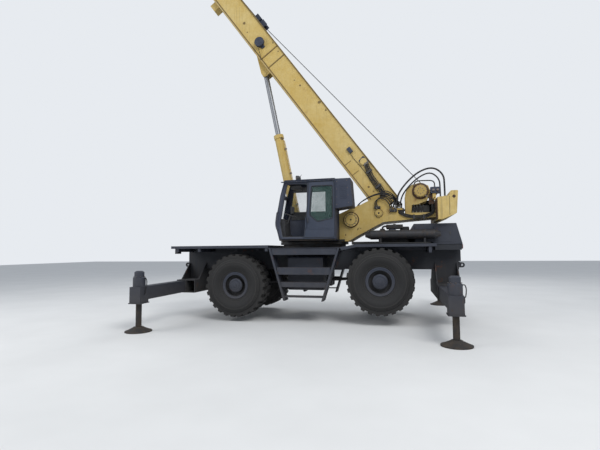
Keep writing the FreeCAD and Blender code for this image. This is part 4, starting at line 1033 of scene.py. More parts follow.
@dataclass
class Chassis:
    """Finishes and small pieces of the carrier, its wheels and its outriggers."""

    finishes: Finishes
    bolts: Fasteners
    hub_bolt_ring: float = 0.150
    disc_bolt_ring: float = 0.255
    # Outer face of a tyre wall as (radius, distance from the wheel's middle)
    wall_curve: tuple[tuple[float, float], ...] = (
        (0.356, 0.232), (0.368, 0.246), (0.392, 0.252), (0.430, 0.272), (0.500, 0.314),
        (0.560, 0.341), (0.610, 0.346), (0.660, 0.342), (0.705, 0.328), (0.738, 0.298),
        (0.752, 0.262),
    )
    # Moulded ribs as (radius, half width, height)
    wall_ribs: tuple[tuple[float, float, float], ...] = (
        (0.402, 0.007, 0.006), (0.455, 0.003, 0.004), (0.590, 0.003, 0.003),
        (0.655, 0.010, 0.006), (0.690, 0.004, 0.004), (0.722, 0.004, 0.004),
    )

    # Dark skin in the rim's recess, painted shade, as (radius, distance from the wheel's middle)
    recess_shade: tuple[tuple[float, float], ...] = (
        (0.2985, 0.244), (0.2907, 0.1312), (0.2005, 0.1112), (0.1958, 0.215),
        (0.1980, 0.215), (0.2025, 0.1135), (0.2890, 0.1330), (0.2965, 0.244),
        (0.2985, 0.244),
    )

    def dress(self) -> None:
        """Makes every carrier piece."""
        for tag, (x, y, z) in WHEELS.items():
            self._wheel(tag, x, y, z)
        for tag, (x, y, bottom) in JACKS.items():
            self._outrigger(tag, x, y, bottom)
        self._ring()
        self._lamps()
        self._hood()
        self._machinery()
        self._step_grip()

    def _machinery(self) -> None:
        """Filters, pump and sills round the engine, and the cones of the muffler."""
        f = self.finishes
        parts = [
            brick("pump_box", (-2.125, 0.160, 2.122), (-1.995, 0.620, 2.560), f["engine_iron"],
                  0.020),
            brick("filter_bed", (-2.620, 0.100, 2.556), (-2.160, 0.600, 2.668), f["engine_iron"],
                  0.018),
            brick("intake_duct", (-2.790, 0.200, 2.130), (-2.540, 0.520, 2.610), f["seal_rubber"],
                  0.030),
        ]
        for i in range(5):
            y = 0.160 + 0.095 * i
            parts.append(turned("filter", Vector((-2.390, y, 2.664)), Vector((0, 0, 1)),
                                [(0, 0), (0.036, 0), (0.036, 0.018), (0.028, 0.026), (0, 0.026)],
                                f["bolt_steel"], 16))
        for i in range(3):
            y = 0.26 + 0.12 * i
            path = smooth_path([(-2.060, y, 2.550), (-2.060, y, 2.600), (-2.130, y, 2.635),
                                (-2.230, y, 2.600), (-2.280, y, 2.565)], 7)
            parts.append(sweep("intake_hose", path, 0.018, f["hose_rubber"], 10))
        parts.append(brick("cooler_box", (-3.400, 0.700, 2.1215), (-1.960, 0.800, 2.300),
                           f["engine_iron"], 0.015))
        parts.append(brick("valve_tray", (-1.940, 0.690, 2.1215), (-1.480, 0.830, 2.195),
                           f["engine_iron"], 0.012))
        parts.append(brick("hose_tray", (-1.980, 0.470, 2.1215), (-1.200, 0.640, 2.200),
                           f["engine_iron"], 0.012))
        for i in range(4):
            y = 1.150 + 0.042 * i
            path = smooth_path([(-1.500 - 0.06 * i, y, 2.139), (-1.90, y + 0.010, 2.139),
                                (-2.40, y - 0.008, 2.139), (-2.95, y + 0.006, 2.139),
                                (-3.300 + 0.03 * i, y, 2.139)], 8)
            parts.append(sweep("deck_hose", path, 0.0165, f["hose_rubber"], 10))
        for side in (-1, 1):
            for x, y, low, high in (((-1.400, -0.975), (0.405, 0.425), 1.951, 2.020),
                                    ((1.060, 3.900), (0.405, 0.425), 1.951, 2.104),
                                    ((-4.100, -3.430), (0.770, 0.785), 1.951, 2.104)):
                parts.append(brick("sill", (x[0], min(side * y[0], side * y[1]), low),
                                   (x[1], max(side * y[0], side * y[1]), high),
                                   f["chassis_paint"], 0.003))
        for x, way in ((-1.761, 1), (-3.419, -1)):
            parts.append(turned("muffler_cone", Vector((x, 0.980, 2.370)), Vector((way, 0, 0)),
                                [(0, 0), (0.1235, 0), (0.112, 0.014), (0.058, 0.145),
                                 (0.046, 0.150), (0, 0.150)], f["muffler_steel"], 32))
        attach(joined("rear_machinery", parts), "carrier")
        LOG.info("rear machinery")

    def _wheel(self, tag: str, x: float, y: float, z: float) -> None:
        """Bolts, hub cap, lock ring, painted shade in the rim's recess and sidewalls on one wheel."""
        out = 1.0 if y > 0 else -1.0
        face = y + out * 0.250
        parts = [
            self.bolts.lay(Repeat.RING, (x, face, z), (0, out, 0), self.hub_bolt_ring, 16, 0.011),
            self.bolts.lay(Repeat.RING, (x, y + out * 0.121, z), (0, out, 0),
                           self.disc_bolt_ring, 20, 0.018),
        ]
        # The hub's bolts take the wheel's paint; the disc's bolts deep in the recess are made near black:
        # painted shade.
        for ring, coat in zip(parts, ("wheel_paint", "seal_rubber")):
            for i, used in enumerate(ring.data.materials):
                if used:
                    ring.data.materials[i] = self.finishes[coat]
        self.bolts.gather(f"wheel_bolts_{tag}", f"wheel_{tag}", parts)
        cap = turned(
            f"hub_cap_{tag}", Vector((x, face - out * 0.002, z)), Vector((0, out, 0)),
            [(0.118, 0), (0.116, 0.012), (0.100, 0.018), (0.055, 0.020), (0.050, 0.034),
             (0.030, 0.038), (0, 0.038)],
            self.finishes["wheel_paint"],
        )
        ring = turned(
            f"lock_ring_{tag}", Vector((x, y + out * 0.238, z)), Vector((0, out, 0)),
            [(0.330, 0), (0.372, 0.004), (0.378, 0.016), (0.366, 0.026), (0.338, 0.022),
             (0.322, 0.010), (0.330, 0)],
            self.finishes["wheel_paint"], 64,
        )
        # A near-black skin in the rim's recess: painted shade.
        grime = turned(f"recess_{tag}", Vector((x, y, z)), Vector((0, out, 0)), self.recess_shade,
                       self.finishes["seal_rubber"], 64)
        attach(joined(f"wheel_trim_{tag}", [cap, ring, grime]), f"wheel_{tag}")
        walls = [self._sidewall(tag, Vector((x, y, z)), side) for side in (1, -1)]
        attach(joined(f"sidewalls_{tag}", walls), f"wheel_{tag}")

    def _sidewall(self, tag: str, centre: Vector, side: int) -> bpy.types.Object:
        """One rounded tyre wall with its moulded ribs, seated in the plain one.

        Args:
            tag: The wheel's name.
            centre: The wheel's centre.
            side: 1 for the wall on +Y and -1 for the one on -Y.

        Returns:
            The wall.
        """
        skin: list[tuple[float, float]] = []
        steps = 96
        knots = smooth_path([(r, t, 0) for r, t in self.wall_curve], 24)
        for i in range(steps + 1):
            point = knots[round(i / steps * (len(knots) - 1))]
            rib = 0.0
            for reach, half, height in self.wall_ribs:
                off = abs(point.x - reach) / half
                rib = max(rib, height * min(1.0, max(0.0, 1.6 - off)))
            skin.append((point.x, point.y + rib))
        inside = [(r, t - 0.022) for r, t in reversed(self.wall_curve)]
        return turned(f"sidewall_{tag}", centre, Vector((0, side, 0)),
                      skin + inside + skin[:1], self.finishes[f"tyre_{tag}"], 96)

    def _outrigger(self, tag: str, x: float, y: float, bottom: float) -> None:
        """Cap bolts, float bolts and a hose on one jack."""
        side = 1.0 if y > 0 else -1.0
        top = bottom + 0.41 + 0.25
        parts = [
            self.bolts.lay(Repeat.RING, (x, y, top + 0.002), (0, 0, 1), 0.132, 8, 0.010),
            self.bolts.lay(Repeat.RING, (x, y, 0.072), (0, 0, 1), 0.175, 6, 0.014),
        ]
        self.bolts.gather(f"jack_cap_bolts_{tag}", f"beam_{tag}", parts[:1])
        self.bolts.gather(f"float_bolts_{tag}", f"jack_{tag}", parts[1:])
        hose = sweep(
            f"jack_hose_{tag}",
            smooth_path([
                (x - 0.125, y, top - 0.060), (x - 0.185, y, top - 0.045),
                (x - 0.215, y, top - 0.130), (x - 0.200, y, top - 0.280),
                (x - 0.180, y, bottom + 0.360), (x - 0.178, y, bottom + 0.260),
                (x - 0.145, y, bottom + 0.220),
            ]),
            0.011, self.finishes["hose_rubber"],
        )
        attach(hose, f"beam_{tag}")

    def _ring(self) -> None:
        """Bolts round the slewing ring and teeth guard under the turntable."""
        guard = turned(
            "ring_guard", Vector((0, 0, 2.205)), Vector((0, 0, 1)),
            [(0.722, -0.10), (0.742, -0.10), (0.748, -0.09), (0.748, -0.02), (0.742, -0.012),
             (0.722, -0.012), (0.722, -0.10)],
            self.finishes["chassis_paint"], 72,
        )
        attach(guard, "carrier")
        heads = self.bolts.lay(Repeat.RING, (0, 0, 2.060), (0, 0, 1), 0.765, 44, 0.013)
        flange = turned(
            "ring_flange", Vector((0, 0, 2.04)), Vector((0, 0, 1)),
            [(0.722, 0), (0.80, 0), (0.80, 0.014), (0.722, 0.014), (0.722, 0)],
            self.finishes["chassis_paint"], 72,
        )
        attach(flange, "carrier")
        self.bolts.gather("ring_bolts", "carrier", [heads])

    def _lamps(self) -> None:
        """Head lamp and tail lamp lenses."""
        for side, word in ((1, "left"), (-1, "right")):
            front = turned(
                f"head_lamp_lens_{word}", Vector((4.064, side * 1.08, 1.970)), Vector((1, 0, 0)),
                [(0.058, 0), (0.057, 0.006), (0.045, 0.014), (0.022, 0.019), (0, 0.020)],
                self.finishes["clear_lens"], 40,
            )
            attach(front, "carrier")
            rear = brick(
                f"tail_lamp_lens_{word}", (-4.140, side * 0.66 - 0.070, 1.99),
                (-4.128, side * 0.66 + 0.070, 2.095), self.finishes["red_lens"], 0.004,
            )
            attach(rear, "carrier")

    def _hood(self) -> None:
        """Door frames, latches and hinges on the engine hood."""
        parts = []
        for side in (1, -1):
            y = side * 0.8
            for x0, x1 in ((-3.86, -3.42), (-3.38, -2.92)):
                corners = [Vector(p) for p in (
                    (x0, y, 2.165), (x1, y, 2.165), (x1, y, 2.60), (x0, y, 2.60))]
                if side < 0:
                    continue
                parts.append(slab("hood_door", corners, Vector((0, side * 0.010, 0)),
                                  self.finishes["slate_paint"], 0.004))
                parts.append(brick("hood_latch", (x0 + 0.03, min(y, y + side * 0.022), 2.36),
                                   (x0 + 0.055, max(y, y + side * 0.022), 2.44),
                                   self.finishes["cab_trim"]))
            for z in (2.24, 2.50):
                for x in (-3.42, -2.94):
                    parts.append(turned("hood_hinge", Vector((x, y + side * 0.012, z)),
                                        Vector((0, 0, 1)),
                                        [(0, 0), (0.010, 0), (0.010, 0.07), (0, 0.07)],
                                        self.finishes["slate_paint"], 12))
        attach(joined("hood_fittings", parts), "carrier")

    def _step_grip(self) -> None:
        """Rows of raised studs on the treads."""
        rows = []
        for low_x, high_x, z in ((-0.70, 0.78, 1.500), (-0.57, 0.66, 1.100), (-0.45, 0.55, 0.730)):
            for side in (1, -1):
                for y in (1.36, 1.30, 1.24, 1.18):
                    count = int((high_x - low_x) / 0.06)
                    rows.append(self.bolts.lay(
                        Repeat.ROW, (low_x, side * y, z), (0, 0, 1), high_x - low_x, count,
                        0.0075, (1, 0, 0)))
        self.bolts.gather("tread_studs", "carrier", rows)


@dataclass
class Cab:
    """The operator's cab: seals, wiper, lamp, rails, seat and door fittings."""

    finishes: Finishes
    bolts: Fasteners
    outer_y: float = 1.380
    inner_y: float = 0.590
    top: float = 3.920
    doorway: tuple[tuple[float, float], ...] = (
        (0.0, 2.34), (0.62, 2.34), (0.69, 2.72), (0.56, 3.44), (0.48, 3.80), (-0.09, 3.80),
        (-0.08, 3.20),
    )
    door_window: tuple[tuple[float, float], ...] = (
        (-0.79, 2.83), (-0.37, 2.74), (-0.15, 2.93), (-0.215, 3.72), (-0.79, 3.72),
    )
    right_window: tuple[tuple[float, float], ...] = (
        (-0.74, 2.90), (0.56, 2.90), (0.59, 3.10), (0.48, 3.80), (-0.74, 3.80),
    )

    def dress(self) -> None:
        """Makes every cab piece."""
        self._seals()
        self._outside()
        self._seat()
        self._door()
        self._inside()

    def _seal(self, name: str, outline: Sequence[tuple[float, float]], y: float,
              radius: float = 0.012) -> bpy.types.Object:
        """A rubber seal round an opening in a side wall."""
        path: list[Vector] = []
        count = len(outline)
        for i in range(count):
            a = Vector((outline[i - 1][0], y, outline[i - 1][1]))
            b = Vector((outline[i][0], y, outline[i][1]))
            c = Vector((outline[(i + 1) % count][0], y, outline[(i + 1) % count][1]))
            r = min(0.05, (a - b).length * 0.4, (c - b).length * 0.4)
            start, stop = b + (a - b).normalized() * r, b + (c - b).normalized() * r
            for k in range(6):
                t = k / 5
                path.append(start * (1 - t) ** 2 + b * (2 * t * (1 - t)) + stop * t * t)
        return sweep(name, path, radius, self.finishes["seal_rubber"], 8, True)

    def _seals(self) -> None:
        """Seals round the doorway and the fixed windows."""
        seals = [
            self._seal("doorway_seal", self.doorway, self.outer_y - 0.014),
            self._seal("window_seal", self.right_window, self.inner_y + 0.004),
        ]
        front = [(0.711, 2.24), (0.833, 2.705), (0.683, 3.49), (0.560, 3.92)]
        for (x0, z0), (x1, z1) in zip(front, front[1:]):
            a, b = Vector((x0, 0, z0)), Vector((x1, 0, z1))
            way = (b - a).normalized()
            low, high = a + way * 0.050, b - way * 0.050
            out = Vector((way.z, 0, -way.x)) * 0.003
            y0, y1 = self.inner_y + 0.085, self.outer_y - 0.085
            ring = [low + out, high + out]
            path = []
            corners = [ring[0] + Vector((0, y0, 0)), ring[0] + Vector((0, y1, 0)),
                       ring[1] + Vector((0, y1, 0)), ring[1] + Vector((0, y0, 0))]
            for i in range(4):
                p, q, s = corners[i - 1], corners[i], corners[(i + 1) % 4]
                r = 0.04
                start, stop = q + (p - q).normalized() * r, q + (s - q).normalized() * r
                for k in range(6):
                    t = k / 5
                    path.append(start * (1 - t) ** 2 + q * (2 * t * (1 - t)) + stop * t * t)
            seals.append(sweep("screen_seal", path, 0.010, self.finishes["seal_rubber"], 8, True))
        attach(joined("cab_seals", seals), "superstructure")

    def _outside(self) -> None:
        """Roof lamp, wiper, gutter, grab rail and sill."""
        f = self.finishes
        parts = []
        lamp = turned(
            "roof_lamp", Vector((0.26, 1.05, 4.015)), Vector((1, 0, -0.12)),
            [(0, -0.09), (0.045, -0.085), (0.075, -0.04), (0.085, 0.02), (0.088, 0.03),
             (0.080, 0.034), (0, 0.036)],
            f["cab_trim"], 32,
        )
        lens = turned(
            "roof_lamp_lens", Vector((0.295, 1.05, 4.011)), Vector((1, 0, -0.12)),
            [(0.078, 0), (0.070, 0.010), (0.035, 0.018), (0, 0.020)], f["clear_lens"], 32,
        )
        bracket = sweep(
            "lamp_bracket",
            [Vector(p) for p in ((0.26, 0.95, 3.918), (0.26, 0.95, 4.02), (0.26, 0.962, 4.03))],
            0.008, f["bolt_steel"], 8,
        )
        bracket_2 = sweep(
            "lamp_bracket_2",
            [Vector(p) for p in ((0.26, 1.15, 3.918), (0.26, 1.15, 4.02), (0.26, 1.138, 4.03))],
            0.008, f["bolt_steel"], 8,
        )
        parts += [lamp, lens, bracket, bracket_2]
        parts.append(sweep(
            "gutter", smooth_path([(-0.84, 1.384, 3.90), (0.0, 1.384, 3.90), (0.54, 1.384, 3.90)], 4),
            0.011, f["cab_slate"], 8))
        wiper_foot = Vector((0.790, 0.985, 3.03))
        wiper_tip = Vector((0.712, 0.985, 3.44))
        parts.append(sweep("wiper_arm", [wiper_foot, wiper_tip], 0.006, f["seal_rubber"], 6))
        blade = (wiper_tip - wiper_foot).normalized()
        parts.append(sweep("wiper_blade", [wiper_tip - blade * 0.26 + Vector((0.004, 0.01, 0)),
                                           wiper_tip + blade * 0.20 + Vector((0.004, 0.01, 0))],
                           0.008, f["seal_rubber"], 6))
        parts.append(sweep(
            "front_rail",
            smooth_path([(0.768, 1.375, 2.560), (0.782, 1.425, 2.570), (0.806, 1.430, 2.720),
                         (0.775, 1.430, 2.980), (0.762, 1.425, 3.020), (0.752, 1.375, 3.030)], 6),
            0.011, f["rail_grip"], 8))
        parts.append(brick("base_sill", (-0.853, 1.350, 2.236), (0.705, 1.392, 2.276),
                           f["float_steel"], 0.006))
        parts.append(sweep("aerial", [Vector((0.215, 1.00, 3.915)), Vector((0.205, 1.00, 4.05)),
                                      Vector((0.160, 1.00, 4.13))], 0.007, f["cab_trim"], 8))
        # Near-black strips on the base's sides and front, and the near-black skirt round the slewing
        # ring: painted shade under the cab.
        for y in (-0.5665, 0.5605):
            parts.append(brick("base_shade_edge", (-1.000, y, 2.2215), (0.900, y + 0.006, 2.2800),
                               f["engine_iron"], 0.001))
        parts.append(brick("base_shade_front", (0.9003, -0.560, 2.2215), (0.9063, 0.560, 2.2800),
                           f["engine_iron"], 0.001))
        parts.append(turned("base_shade_skirt", Vector((0, 0, 2.140)), Vector((0, 0, 1)),
                            [(0.900, -0.094), (0.950, -0.094), (0.950, 0), (1.030, 0),
                             (1.030, 0.076), (0.900, 0.076), (0.900, -0.094)],
                            f["engine_iron"], 72))
        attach(joined("cab_outside", parts), "superstructure")
        rows = [
            self.bolts.lay(Repeat.ROW, (-0.82, 1.437, 3.862), (0, 1, 0), 1.40, 12, 0.006,
                           (1, 0, 0)),
            self.bolts.lay(Repeat.ROW, (-1.22, 1.374, 3.24), (0, 1, 0), 0.60, 4, 0.008,
                           (0.08, 0, 1)),
            self.bolts.lay(Repeat.ROW, (-0.90, 1.374, 3.20), (0, 1, 0), 0.62, 4, 0.008, (0, 0, 1)),
        ]
        self.bolts.gather("cab_bolts", "superstructure", rows)
        louvres = []
        for i in range(7):
            z = 3.36 + i * 0.055
            corners = [Vector(p) for p in (
                (-1.16, 1.372, z), (-0.98, 1.372, z), (-0.98, 1.372, z + 0.030),
                (-1.16, 1.372, z + 0.030))]
            louvres.append(slab("louvre", corners, Vector((0, 0.010, -0.004)), f["cab_slate"],
                                0.003))
        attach(joined("box_louvres", louvres), "superstructure")

    def open_shell(self, shell: bpy.types.Object) -> None:
        """Opens the side window behind the sliding door's glass, and glazes it.

        Args:
            shell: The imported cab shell, which this piece takes the place of.
        """
        opening = [(-0.775, 2.860), (-0.372, 2.775), (-0.175, 2.945), (-0.235, 3.700),
                   (-0.775, 3.700)]
        wall = self.outer_y - 0.030
        cutter = slab("cutter", [Vector((x, wall - 0.05, z)) for x, z in opening],
                      Vector((0, 0.13, 0)), self.finishes["cab_slate"], 0.0)
        mesh = shell.data.copy()
        mesh.transform(shell.matrix_world)
        work = bpy.data.objects.new("cab_shell_cut", mesh)
        bpy.context.scene.collection.objects.link(work)
        cut = work.modifiers.new("cut", "BOOLEAN")
        cut.operation, cut.solver, cut.object = "DIFFERENCE", "EXACT", cutter
        made = finish_mesh(work)
        bpy.data.objects.remove(cutter)
        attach(made, "superstructure")
        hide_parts("cab_shell")
        pane = slab("side_pane", [Vector((x * 0.997, wall + 0.010, z)) for x, z in opening],
                    Vector((0, 0.005, 0)), self.finishes["cab_pane"], 0.0)
        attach(pane, "superstructure")
        lining = [brick("lining", (x[0], self.inner_y + 0.0305, z[0]),
                        (x[1], self.inner_y + 0.044, z[1]), self.finishes["cab_trim"], 0.004)
                  for x, z in (((-0.800, -0.460), (2.860, 3.840)), ((-0.460, 0.560), (2.860, 3.095)),
                               ((-0.460, 0.500), (3.665, 3.840)))]
        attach(joined("side_lining", lining), "superstructure")

    def _crowned(self, name: str, low: Point, high: Point, crown: float) -> bpy.types.Object:
        """A padded cushion with crowned faces and sides that pull in between its corners."""
        (x0, y0, z0), (x1, y1, z1) = low, high
        cuts = 10
        work = bmesh.new()
        bmesh.ops.create_cube(work, size=2.0)
        bmesh.ops.subdivide_edges(work, edges=work.edges[:], cuts=cuts, use_grid_fill=True)
        centre = Vector(((x0 + x1) / 2, (y0 + y1) / 2, (z0 + z1) / 2))
        half = Vector(((x1 - x0) / 2, (y1 - y0) / 2, (z1 - z0) / 2))
        for vertex in work.verts:
            p = vertex.co.copy()
            q = Vector(p)
            for axis in range(3):
                others = [p[k] for k in range(3) if k != axis]
                bulge = (1 - others[0] ** 2) * (1 - others[1] ** 2)
                pull = 0.965 - 0.05 * (1 - abs(p[axis]))
                q[axis] = p[axis] * pull + math.copysign(0.035, p[axis]) * bulge * (
                    abs(p[axis]) > 0.999)
            rounding = 1 - 0.045 * (abs(p.x * p.y * p.z)) ** 2
            q *= rounding
            seam = crown * math.exp(-((abs(p.y) - 0.55) / 0.05) ** 2)
            q.z -= seam * (p.z > 0.9)
            vertex.co = Vector((centre.x + q.x * half.x, centre.y + q.y * half.y,
                                centre.z + q.z * half.z))
        mesh = bpy.data.meshes.new(name)
        work.to_mesh(mesh)
        work.free()
        mesh.materials.append(self.finishes["seat_cloth"])
        mesh.polygons.foreach_set("use_smooth", [True] * len(mesh.polygons))
        made = bpy.data.objects.new(name, mesh)
        bpy.context.scene.collection.objects.link(made)
        smooth = made.modifiers.new("smooth", "SUBSURF")
        smooth.levels = smooth.render_levels = 1
        return finish_mesh(made)

    def _seat(self) -> None:
        """The seat's cushions on their plinth, in place of the plain solid."""
        floor = 2.290
        plinth = brick("seat_plinth", (-0.56, 0.82, floor), (-0.20, 1.15, floor + 0.245),
                       self.finishes["cab_trim"], 0.012)
        cushion = self._crowned("seat_cushion", (-0.64, 0.74, floor + 0.242),
                                (-0.12, 1.23, floor + 0.368), 0.10)
        back = self._crowned("seat_back", (-0.64, 0.76, floor + 0.345), (-0.53, 1.21, floor + 0.95),
                             0.0)
        lean = Matrix.Translation((-0.585, 0, floor + 0.36)) @ Matrix.Rotation(
            math.radians(-9), 4, "Y") @ Matrix.Translation((0.585, 0, -floor - 0.36))
        back.data.transform(lean)
        rest = self._crowned("head_rest", (-0.735, 0.87, floor + 0.93), (-0.645, 1.10, floor + 1.115),
                             0.0)
        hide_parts("cab_seat")
        for piece in (cushion, back, rest):
            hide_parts("cab_seat")
        for piece in (plinth, cushion, back, rest):
            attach(piece, "superstructure")
        LOG.info("seat")

    def _door(self) -> None:
        """The door's window seal, edge seal, handle and rib."""
        y = 1.388
        seal = self._seal("door_seal", self.door_window, y + 0.020, 0.011)
        inner = [(-0.835, 2.315), (0.0, 2.315), (-0.075, 2.95), (-0.145, 3.835), (-0.835, 3.835)]
        edge = self._seal("door_edge", inner, y + 0.022, 0.006)
        handle = sweep(
            "door_handle",
            smooth_path([(-0.11, y + 0.02, 2.72), (-0.11, y + 0.05, 2.73), (-0.11, y + 0.05, 2.84),
                         (-0.11, y + 0.02, 2.85)], 5), 0.009, self.finishes["cab_trim"], 8)
        rib = slab("door_rib", [Vector(p) for p in (
            (-0.80, y + 0.021, 2.54), (-0.14, y + 0.021, 2.54), (-0.14, y + 0.021, 2.575),
            (-0.80, y + 0.021, 2.575))], Vector((0, 0.008, 0)), self.finishes["door_slate"], 0.003)
        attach(joined("door_fittings", [seal, edge, handle, rib]), "cab_door")

    def _inside(self) -> None:
        """Gauges and pedals inside the cab, and the roof panel's switches."""
        f = self.finishes
        parts = []
        for i, y in enumerate((0.80, 0.92, 1.05, 1.17)):
            parts.append(turned(f"gauge_{i}", Vector((0.642, y, 2.842)), Vector((-0.36, 0, 1)),
                                [(0.040, -0.004), (0.040, 0.006), (0.034, 0.008), (0, 0.007)],
                                f["fitting_steel"], 24))
        parts.append(brick("roof_box", (0.18, 0.72, 3.70), (0.44, 1.10, 3.80), f["cab_trim"], 0.01))
        parts.append(brick("load_display", (0.46, 0.66, 3.02), (0.52, 0.90, 3.24), f["cab_trim"],
                           0.01))
        parts.append(sweep("display_arm", [Vector((0.50, 0.78, 3.05)), Vector((0.60, 0.80, 2.80))],
                           0.012, f["cab_trim"], 8))
        for y in (0.88, 1.08):
            parts.append(slab("pedal", [Vector(p) for p in (
                (0.42, y - 0.04, 2.33), (0.42, y + 0.04, 2.33), (0.50, y + 0.04, 2.42),
                (0.50, y - 0.04, 2.42))], Vector((0.008, 0, -0.008)), f["seal_rubber"], 0.003))
            parts.append(sweep("pedal_arm", [Vector((0.46, y, 2.37)), Vector((0.57, y, 2.36))],
                               0.008, f["bolt_steel"], 6))
        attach(joined("cab_inside", parts), "superstructure")


@dataclass
class Hoist:
    """The winch's wound rope, the rope to the boom head and the two hose loops."""

    finishes: Finishes
    bolts: Fasteners
    winch: tuple[float, float] = (-3.120, 3.600)
    drum_radius: float = 0.205
    rope_radius: float = 0.011
    guide_in: tuple[float, float] = (7.220, 0.776)
    idler: tuple[float, float] = (10.740, 0.700)
    idler_radius: float = 0.142
    hose_routes: dict[str, tuple[float, float, tuple[tuple[float, float], ...]]] = field(
        default_factory=lambda: {
            "hose_outer": (0.024, 0.470, (
                (-2.450, 3.120), (-2.450, 3.420), (-2.680, 3.790), (-3.060, 4.140),
                (-3.460, 4.260), (-3.740, 4.040), (-3.755, 3.700), (-3.755, 3.3602))),
            "hose_inner": (0.020, 0.410, (
                (-2.560, 3.120), (-2.560, 3.390), (-2.770, 3.720), (-3.090, 4.010),
                (-3.400, 4.130), (-3.630, 3.930), (-3.645, 3.640), (-3.645, 3.3486))),
        }
    )

    def dress(self) -> None:
        """Makes the ropes, hoses and winch bolts."""
        self._winding()
        self._rope()
        for node, (radius, y, route) in self.hose_routes.items():
            self._hose(node, radius, y, route)
        x, z = self.winch
        rings = [
            self.bolts.lay(Repeat.RING, (x, 0.443, z), (0, 1, 0), 0.162, 12, 0.009),
            self.bolts.lay(Repeat.RING, (x, 0.475, z), (0, 1, 0), 0.085, 8, 0.010),
            self.bolts.lay(Repeat.RING, (x, -0.361, z), (0, -1, 0), 0.150, 12, 0.009),
        ]
        for side in (1, -1):
            rings.append(self.bolts.lay(Repeat.ROW, (-3.38, side * 0.52, 2.985), (0, 0, 1), 0.64,
                                        6, 0.012, (1, 0, 0)))
            rings.append(self.bolts.lay(Repeat.RING, (-1.19, side * 0.650, 2.83), (0, side, 0),
                                        0.168, 12, 0.011))
            rings.append(self.bolts.lay(Repeat.RING, (-1.97, side * 0.605, 3.00), (0, side, 0),
                                        0.088, 4, 0.008))
        self.bolts.gather("turntable_bolts", "superstructure", rings)

    def _winding(self) -> None:
        """The rope wound on the drum, as ridges round it."""
        x, z = self.winch
        profile: list[tuple[float, float]] = [(self.drum_radius - 0.01, -0.277)]
        pitch, turns = 0.0222, 25
        for i in range(turns):
            start = -0.277 + i * pitch
            for k in range(5):
                t = k / 4
                profile.append((
                    self.drum_radius + self.rope_radius * (0.35 + 1.55 * math.sin(math.pi * t)),
                    start + t * pitch * 0.999))
        profile.append((self.drum_radius - 0.01, 0.277))
        made = turned("drum_rope", Vector((x, 0, z)), Vector((0, 1, 0)), profile,
                      self.finishes["wire_rope"], 48)
        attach(made, "drum")

    def _rope(self) -> None:
        """The hoist rope: to the guide, along the boom in three lengths, and over the idler."""
        x, z = self.winch
        reach = self.drum_radius + self.rope_radius * 1.2
        guide = boom_point(*self.guide_in)
        angle = math.atan2(guide.z - z, guide.x - x) + math.acos(
            reach / math.hypot(guide.x - x, guide.z - z))
        start = Vector((x + reach * math.cos(angle), 0, z + reach * math.sin(angle)))
        self._rope_length("hoist_rope_1", start, guide, 1)
        over = self.idler[1] + self.idler_radius + self.rope_radius
        places = [guide] + [boom_point(u, w) for u, w in (
            (8.40, 0.748), (9.60, 0.790), (self.idler[0], over))]
        for i, (a, b) in enumerate(zip(places, places[1:])):
            self._rope_length(f"hoist_rope_{i + 2}", a, b, 12)
        arc = []
        radius = self.idler_radius + self.rope_radius
        for k in range(15):
            a = math.pi / 2 - k / 14 * math.radians(128)
            arc.append(boom_point(self.idler[0] + radius * math.cos(a),
                                  self.idler[1] + radius * math.sin(a)))
        arc.append(boom_point(10.78 + 0.183, -0.06))
        made = sweep("rope_over_idler", arc, self.rope_radius, self.finishes["wire_rope"], 12,
                     twist=4.0, lobes=6)
        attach(made, "boom_4")
        LOG.info("hoist rope")

    def _rope_length(self, name: str, a: Vector, b: Vector,
                     steps: int) -> None:
        """One straight length of rope between two points, in the given number of steps."""
        path = [a + (b - a) * (k / steps) for k in range(steps + 1)]
        made = sweep(name, path, self.rope_radius, self.finishes["wire_rope"], 12)
        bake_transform(made)

    def _hose(
        self, node: str, radius: float, y: float, route: Sequence[tuple[float, float]]
    ) -> None:
        """One hose loop with its crimped ends, in place of the plain solid."""
        curve = bpy.data.curves.new(node + "_line", "CURVE")
        curve.dimensions = "3D"
        spline = curve.splines.new("NURBS")
        spline.points.add(len(route) - 1)
        for point, (px, pz) in zip(spline.points, route):
            point.co = (px, y, pz, 1.0)
        spline.order_u = 3
        spline.use_endpoint_u = True
        spline.resolution_u = 24
        curve.bevel_depth = radius
        curve.bevel_resolution = 5
        curve.use_fill_caps = True
        curve.materials.append(self.finishes["hose_rubber"])
        made = bpy.data.objects.new(node + "_skin", curve)
        bpy.context.scene.collection.objects.link(made)
        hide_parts(node)
        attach(made, "superstructure")
        crimps = []
        for (ax, az), (bx, bz) in ((route[0], route[1]), (route[-1], route[-2])):
            way = Vector((bx - ax, 0, bz - az)).normalized()
            crimps.append(turned(
                "crimp", Vector((ax, y, az)) - way * 0.002, way,
                [(0, 0), (radius * 1.30, 0), (radius * 1.30, 0.030), (radius * 1.15, 0.036),
                 (radius * 1.15, 0.085), (radius * 1.02, 0.092), (radius * 0.9, 0.092)],
                self.finishes["fitting_steel"], 24))
        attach(joined(node + "_ends", crimps), "superstructure")


